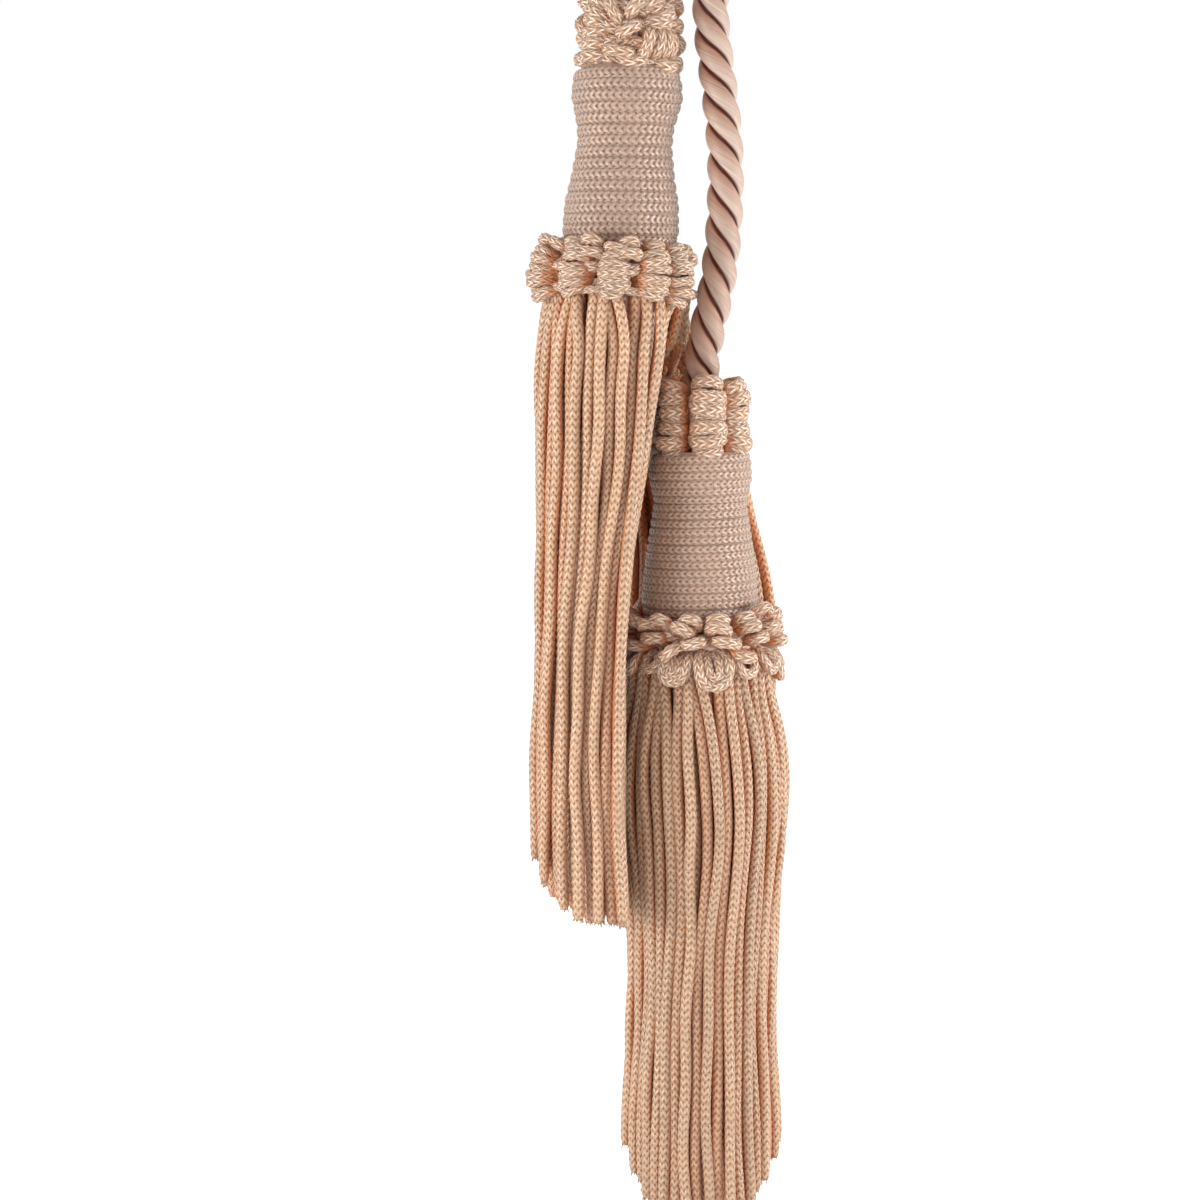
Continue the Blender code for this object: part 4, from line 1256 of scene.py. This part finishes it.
    # Painted shade in the creases, standing in for the shade there and the light bounced from yarn
    # to yarn
    crease = add_node(tree, "ShaderNodeAttribute", attribute_name="crease")
    painted_crease_shade = add_node(tree, "ShaderNodeMapRange", {
        "Value": crease.outputs["Fac"], "From Min": 0.27, "From Max": 0.76,
        "To Max": crease_shading}, interpolation_type="SMOOTHSTEP")
    crease_shaded = add_node(tree, "ShaderNodeMix", {
        "Factor": painted_crease_shade, 6: yarn_highlighted.outputs[2], 7: rgba(settings.deep)},
        data_type="RGBA")
    hole_shaded = add_node(tree, "ShaderNodeMix", {
        "Factor": dark, 6: crease_shaded.outputs[2], 7: rgba(settings.hole)}, data_type="RGBA",
        blend_type="MULTIPLY")

    sharp = add_node(tree, "ShaderNodeMath", {0: gap, 1: 2.2}, operation="POWER")
    sunken = add_node(tree, "ShaderNodeMath", {0: sharp, 1: rounded}, operation="MULTIPLY")
    uneven_height = add_node(
        tree, "ShaderNodeMath", {0: uneven, 1: -0.8}, operation="MULTIPLY")
    height = add_node(tree, "ShaderNodeMath", {
        0: filaments, 1: 0.15, 2: uneven_height}, operation="MULTIPLY_ADD")
    surface = add_node(tree, "ShaderNodeMath", {0: height, 1: sunken}, operation="SUBTRACT")
    bump = add_node(tree, "ShaderNodeBump", {
        "Height": surface, "Strength": 1.0, "Distance": 0.3 * MM})
    set_inputs(tree, shader, {
        "Base Color": hole_shaded.outputs[2],
        "Normal": bump,
        "Roughness": 0.34,
        "IOR": 1.52,
        "Specular IOR Level": 0.8,
        "Sheen Weight": 0.5,
        "Sheen Roughness": 0.35,
        "Sheen Tint": rgba(linear("#FFF4EA")),
        "Subsurface Weight": 0.2,
        "Subsurface Radius": (1.0, 0.6, 0.4),
        "Subsurface Scale": 1.2 * MM,
    })
    return material


def rope_material(settings, length):
    """Satin rayon laid over three plies: shiny streaks of fibre, a painted highlight and painted
    shade across each ply, and deep red painted shade between.

    The UV map goes along the rope, which is this long, and round its section.
    """
    material, tree, shader = new_material("satin rayon rope")
    uv = add_node(tree, "ShaderNodeUVMap", uv_map="UVMap")
    split = add_node(tree, "ShaderNodeSeparateXYZ", {"Vector": uv})
    # Streaks of fibres about 0.2 mm wide run along the plies, and slant a little across them
    around = split.outputs["Y"]
    slanted = add_node(tree, "ShaderNodeMath", {
        0: split.outputs["X"], 1: length / (60 * MM), 2: around}, operation="MULTIPLY_ADD")
    drawn = add_node(tree, "ShaderNodeMath", {
        0: split.outputs["X"], 1: length / (7 * MM)}, operation="MULTIPLY")
    fine = add_node(tree, "ShaderNodeMath", {0: slanted, 1: 90.0}, operation="MULTIPLY")
    stretched = add_node(tree, "ShaderNodeCombineXYZ", {"X": drawn, "Y": fine})
    fibres = add_node(tree, "ShaderNodeTexNoise", {
        "Vector": stretched, "Scale": 1.0, "Detail": 2.0, "Roughness": 0.55})
    streaks = add_node(tree, "ShaderNodeMapRange", {
        "Value": fibres, "From Min": 0.25, "From Max": 0.75})
    plies = add_node(tree, "ShaderNodeMath", {0: around, 1: 3.0}, operation="MULTIPLY")
    half_ply = add_node(tree, "ShaderNodeMath", {0: plies, 1: 0.5}, operation="PINGPONG")
    from_crest = add_node(tree, "ShaderNodeMath", {0: half_ply, 1: 2.0}, operation="MULTIPLY")
    # Painted shade: the grooves between the plies are painted deep red
    groove_shade_mask = add_node(tree, "ShaderNodeMapRange", {
        "Value": from_crest, "From Min": 0.72, "From Max": 0.90},
        interpolation_type="SMOOTHSTEP")
    satin = add_node(tree, "ShaderNodeMix", {
        "Factor": streaks, 6: rgba(settings.colour, 0.5),
        7: rgba(settings.colour, 1.2)}, data_type="RGBA")
    # Painted light and shade: across a ply the colour goes from a painted highlight on one side to
    # painted shade on the other
    turned = add_node(tree, "ShaderNodeMath", {0: plies, 1: 0.5}, operation="ADD")
    across_ply = add_node(tree, "ShaderNodeMath", {0: turned}, operation="FRACT")
    facing = add_node(tree, "ShaderNodeMapRange", {
        "Value": across_ply, "From Min": 0.1, "From Max": 0.9, "To Min": 1.0, "To Max": 0.0})
    painted_ply_light_and_shade = add_node(tree, "ShaderNodeMix", {
        "Factor": facing, 6: rgba(settings.painted_ply_shade), 7: rgba(settings.painted_ply_highlight)},
        data_type="RGBA")
    satin_with_painted_light = add_node(tree, "ShaderNodeMix", {
        "Factor": 1.0, 6: satin.outputs[2], 7: painted_ply_light_and_shade.outputs[2]}, data_type="RGBA",
        blend_type="MULTIPLY")
    shaded = add_node(tree, "ShaderNodeMix", {
        "Factor": groove_shade_mask, 6: satin_with_painted_light.outputs[2], 7: rgba(settings.painted_groove_shade)}, data_type="RGBA")
    bump = add_node(tree, "ShaderNodeBump", {
        "Height": fibres, "Strength": 0.8, "Distance": 0.2 * MM})
    set_inputs(tree, shader, {
        "Base Color": shaded.outputs[2],
        "Normal": bump,
        "Roughness": 0.3,
        "IOR": 1.5,
        "Sheen Weight": 0.3,
        "Sheen Roughness": 0.3,
    })
    return material


# The stage


# Soft square lamps: name, place, size and power
LAMPS = [
    ("left softbox", (-0.66, -0.40, -0.14), 0.35, 3.8),
    ("right softbox", (0.70, -0.10, -0.06), 0.3, 3.6),
    ("front softbox", (0.16, -0.70, -0.32), 0.3, 1.6),
]
LAMP_COLOUR = (1.0, 0.99, 0.98)
FLOOR_RADIUS = 12.0


def aim(holder, place, target):
    """Put a camera or lamp in its place, facing a point."""
    holder.location = place
    holder.rotation_euler = (target - holder.location).to_track_quat("-Z", "Y").to_euler()
    bpy.context.scene.collection.objects.link(holder)


def make_lamps(target):
    """The soft lamps, all facing one point."""
    for name, place, size, power in LAMPS:
        lamp = bpy.data.lights.new(name, "AREA")
        lamp.size = size
        lamp.energy = power
        lamp.color = LAMP_COLOUR
        aim(bpy.data.objects.new(name, lamp), place, target)


def make_world():
    """A white studio, dimmer towards the front."""
    world = bpy.data.worlds.new("white studio")
    world.use_nodes = True
    tree = world.node_tree
    tree.nodes.clear()
    place = add_node(tree, "ShaderNodeTexCoord")
    split = add_node(tree, "ShaderNodeSeparateXYZ", {"Vector": place.outputs["Generated"]})
    front = add_node(tree, "ShaderNodeMapRange", {
        "Value": split.outputs["Y"], "From Min": -1.0, "From Max": 0.1,
        "To Min": 0.56, "To Max": 0.88}, interpolation_type="SMOOTHSTEP")
    glow = add_node(tree, "ShaderNodeBackground", {
        "Color": rgba((1.0, 1.0, 0.99)), "Strength": front.outputs[0]})
    backdrop = add_node(tree, "ShaderNodeBackground", {
        "Color": rgba((1.0, 1.0, 1.0)), "Strength": 1.0})
    path = add_node(tree, "ShaderNodeLightPath")
    mixed = add_node(tree, "ShaderNodeMixShader", {
        0: path.outputs["Is Camera Ray"], 1: glow.outputs[0], 2: backdrop.outputs[0]})
    add_node(tree, "ShaderNodeOutputWorld", {"Surface": mixed.outputs[0]})
    bpy.context.scene.world = world


def make_camera(settings, centre):
    """The camera, which faces the tassels from a little above."""
    camera = bpy.data.cameras.new("camera")
    camera.sensor_width = 36.0
    camera.lens = camera.sensor_width * settings.distance / settings.view_width
    camera.clip_start = 0.05
    camera.clip_end = 50.0
    holder = bpy.data.objects.new("camera", camera)
    aim(holder, centre + Vector((0.0, -settings.distance, settings.camera_above)), centre)
    bpy.context.scene.camera = holder
    bpy.context.scene.view_settings.view_transform = "Standard"


def make_floor(settings):
    """A matt white floor under the tassels, which looks lit from below."""
    bm = bmesh.new()
    bmesh.ops.create_circle(bm, cap_ends=True, segments=96, radius=FLOOR_RADIUS)
    bmesh.ops.translate(bm, verts=bm.verts, vec=(0.0, 0.0, CAD_BOX[0].z - settings.floor_drop))
    mesh = bpy.data.meshes.new("floor")
    bm.to_mesh(mesh)
    bm.free()
    # Matt white board throws back an even light and shows no gloss
    material, tree, shader = new_material("matt white floor")
    seen = add_node(tree, "ShaderNodeLightPath")
    lift = add_node(tree, "ShaderNodeMath", {
        0: seen.outputs["Is Camera Ray"], 1: settings.floor_glow}, operation="MULTIPLY")
    set_inputs(tree, shader, {
        "Base Color": rgba(settings.floor),
        "Roughness": 0.9,
        "Emission Color": rgba((1.0, 1.0, 1.0)),
        "Emission Strength": lift,
    })
    mesh.materials.append(material)
    floor = bpy.data.objects.new("floor", mesh)
    bpy.context.scene.collection.objects.link(floor)


# Operators


class TASSEL_OT_stage(bpy.types.Operator):
    """Set up the camera, soft lights and a pale floor"""

    bl_idname = "tassel.stage"
    bl_label = "Stage"

    def execute(self, context):
        settings = context.scene.tassel_stage
        centre = Vector(settings.view_centre)
        make_camera(settings, centre)
        make_floor(settings)
        make_lamps(centre)
        make_world()
        return {"FINISHED"}


class TASSEL_OT_rope(bpy.types.Operator):
    """Lay the three-ply rope from head to head over its hanging loop"""

    bl_idname = "tassel.rope"
    bl_label = "Rope"

    def execute(self, context):
        settings = context.scene.tassel_rope
        bm, path = make_rope()
        material = rope_material(settings, ROPE_LENGTH)
        piece = finish_piece("rope_plies", bm, material, "rope", "rope")
        return {"FINISHED"}


class TASSEL_OT_heads(bpy.types.Operator):
    """Wind chainette over the two heads"""

    bl_idname = "tassel.heads"
    bl_label = "Wound heads"

    def execute(self, context):
        settings = context.scene.tassel_chainette
        material = chainette_material(
            "rayon chainette, wound", settings.head, settings, slant=1.0,
            crease_shading=0.25, hole_shading=0.85, yarn_highlight_strength=0.2, unevenness=0.25)
        dice = random.Random(5)
        # The shade given to each head is painted light: the lower head's 1.0, against the upper's
        # 0.2, paints it paler where the upper skirt shades it
        upper = wound_head(UPPER_PLACE, UPPER_HEAD, settings.upper_pitch, 0.2, dice)
        finish_piece("upper_winding", upper, material, "head", "upper_head")
        lower = wound_head(LOWER_PLACE, LOWER_HEAD, settings.lower_pitch, 1.0, dice)
        finish_piece("lower_winding", lower, material, "head", "lower_head")
        return {"FINISHED"}


class TASSEL_OT_ruffs(bpy.types.Operator):
    """Gather chainette loops into the crowns and collars"""

    bl_idname = "tassel.ruffs"
    bl_label = "Ruffs"

    def execute(self, context):
        settings = context.scene.tassel_chainette
        material = chainette_material(
            "rayon chainette, looped", settings.ruff, settings, slant=1.8,
            crease_shading=1.0, hole_shading=0.35, yarn_highlight_strength=0.9, unevenness=1.1)
        for name, gather, place, node, seed in (
            ("upper_rosette", upper_rosette, UPPER_PLACE, "upper_top_ruff", 3),
            ("upper_ruche", upper_ruche, UPPER_PLACE, "upper_collar", 7),
            ("lower_stacks", lower_stacks, LOWER_PLACE, "lower_top_ruff", 9),
            ("lower_ruche", lower_ruche, LOWER_PLACE, "lower_collar", 13),
        ):
            bm = new_knitting()
            gather(bm, random.Random(seed))
            slacken(bm)
            bmesh.ops.transform(bm, matrix=place, verts=bm.verts)
            finish_piece(name, bm, material, "ruff", node)
        return {"FINISHED"}


class TASSEL_OT_skirts(bpy.types.Operator):
    """Hang the two skirts of cut chainette"""

    bl_idname = "tassel.skirts"
    bl_label = "Skirts"

    def execute(self, context):
        settings = context.scene.tassel_chainette
        material = chainette_material(
            "rayon chainette, cut", settings.skirt, settings, slant=1.0,
            crease_shading=0.95, hole_shading=0.7, yarn_highlight_strength=0.25, unevenness=0.35)
        outer = set(range(OUTER_STRANDS))
        inner = set(range(OUTER_STRANDS, sum(count for count, _ in STRAND_RINGS)))
        # The last number is each skirt's painted light: the upper skirt is painted paler and the
        # lower darker
        for name, points, seed, painted_light in (
            ("upper", upper_strand_points(random.Random(11)), 17, 0.95),
            ("lower", lower_strand_points(random.Random(23)), 29, 0.35),
        ):
            for layer, keep in (("outer", outer), ("inner", inner)):
                bm = skirt_strands(points, random.Random(seed), keep, painted_light)
                finish_piece(f"{name}_{layer}_strands", bm, material, "skirt", f"{name}_skirt")
        return {"FINISHED"}


class TASSEL_PT_panel(bpy.types.Panel):
    """The tassel's operators and settings"""

    bl_label = "Double tassel"
    bl_idname = "TASSEL_PT_panel"
    bl_space_type = "VIEW_3D"
    bl_region_type = "UI"
    bl_category = "Tassel"

    def draw(self, context):
        for operator in OPERATORS:
            self.layout.operator(operator.bl_idname)
        for settings in (context.scene.tassel_rope, context.scene.tassel_chainette,
                         context.scene.tassel_stage):
            for name in settings.bl_rna.properties.keys():
                if name not in ("rna_type", "name"):
                    self.layout.prop(settings, name)


OPERATORS = [
    TASSEL_OT_stage, TASSEL_OT_rope, TASSEL_OT_heads, TASSEL_OT_ruffs, TASSEL_OT_skirts,
]
SETTINGS = {
    "tassel_rope": RopeSettings,
    "tassel_chainette": ChainetteSettings,
    "tassel_stage": StageSettings,
}


def register():
    for cls in [*SETTINGS.values(), *OPERATORS, TASSEL_PT_panel]:
        bpy.utils.register_class(cls)
    for name, cls in SETTINGS.items():
        setattr(bpy.types.Scene, name, bpy.props.PointerProperty(type=cls))


def unregister():
    for name in SETTINGS:
        delattr(bpy.types.Scene, name)
    for cls in reversed([*SETTINGS.values(), *OPERATORS, TASSEL_PT_panel]):
        bpy.utils.unregister_class(cls)


def main():
    register()
    bpy.ops.tassel.stage()
    bpy.ops.tassel.rope()
    bpy.ops.tassel.heads()
    bpy.ops.tassel.ruffs()
    bpy.ops.tassel.skirts()
    bpy.context.view_layer.update()


if __name__ == "__main__":
    main()
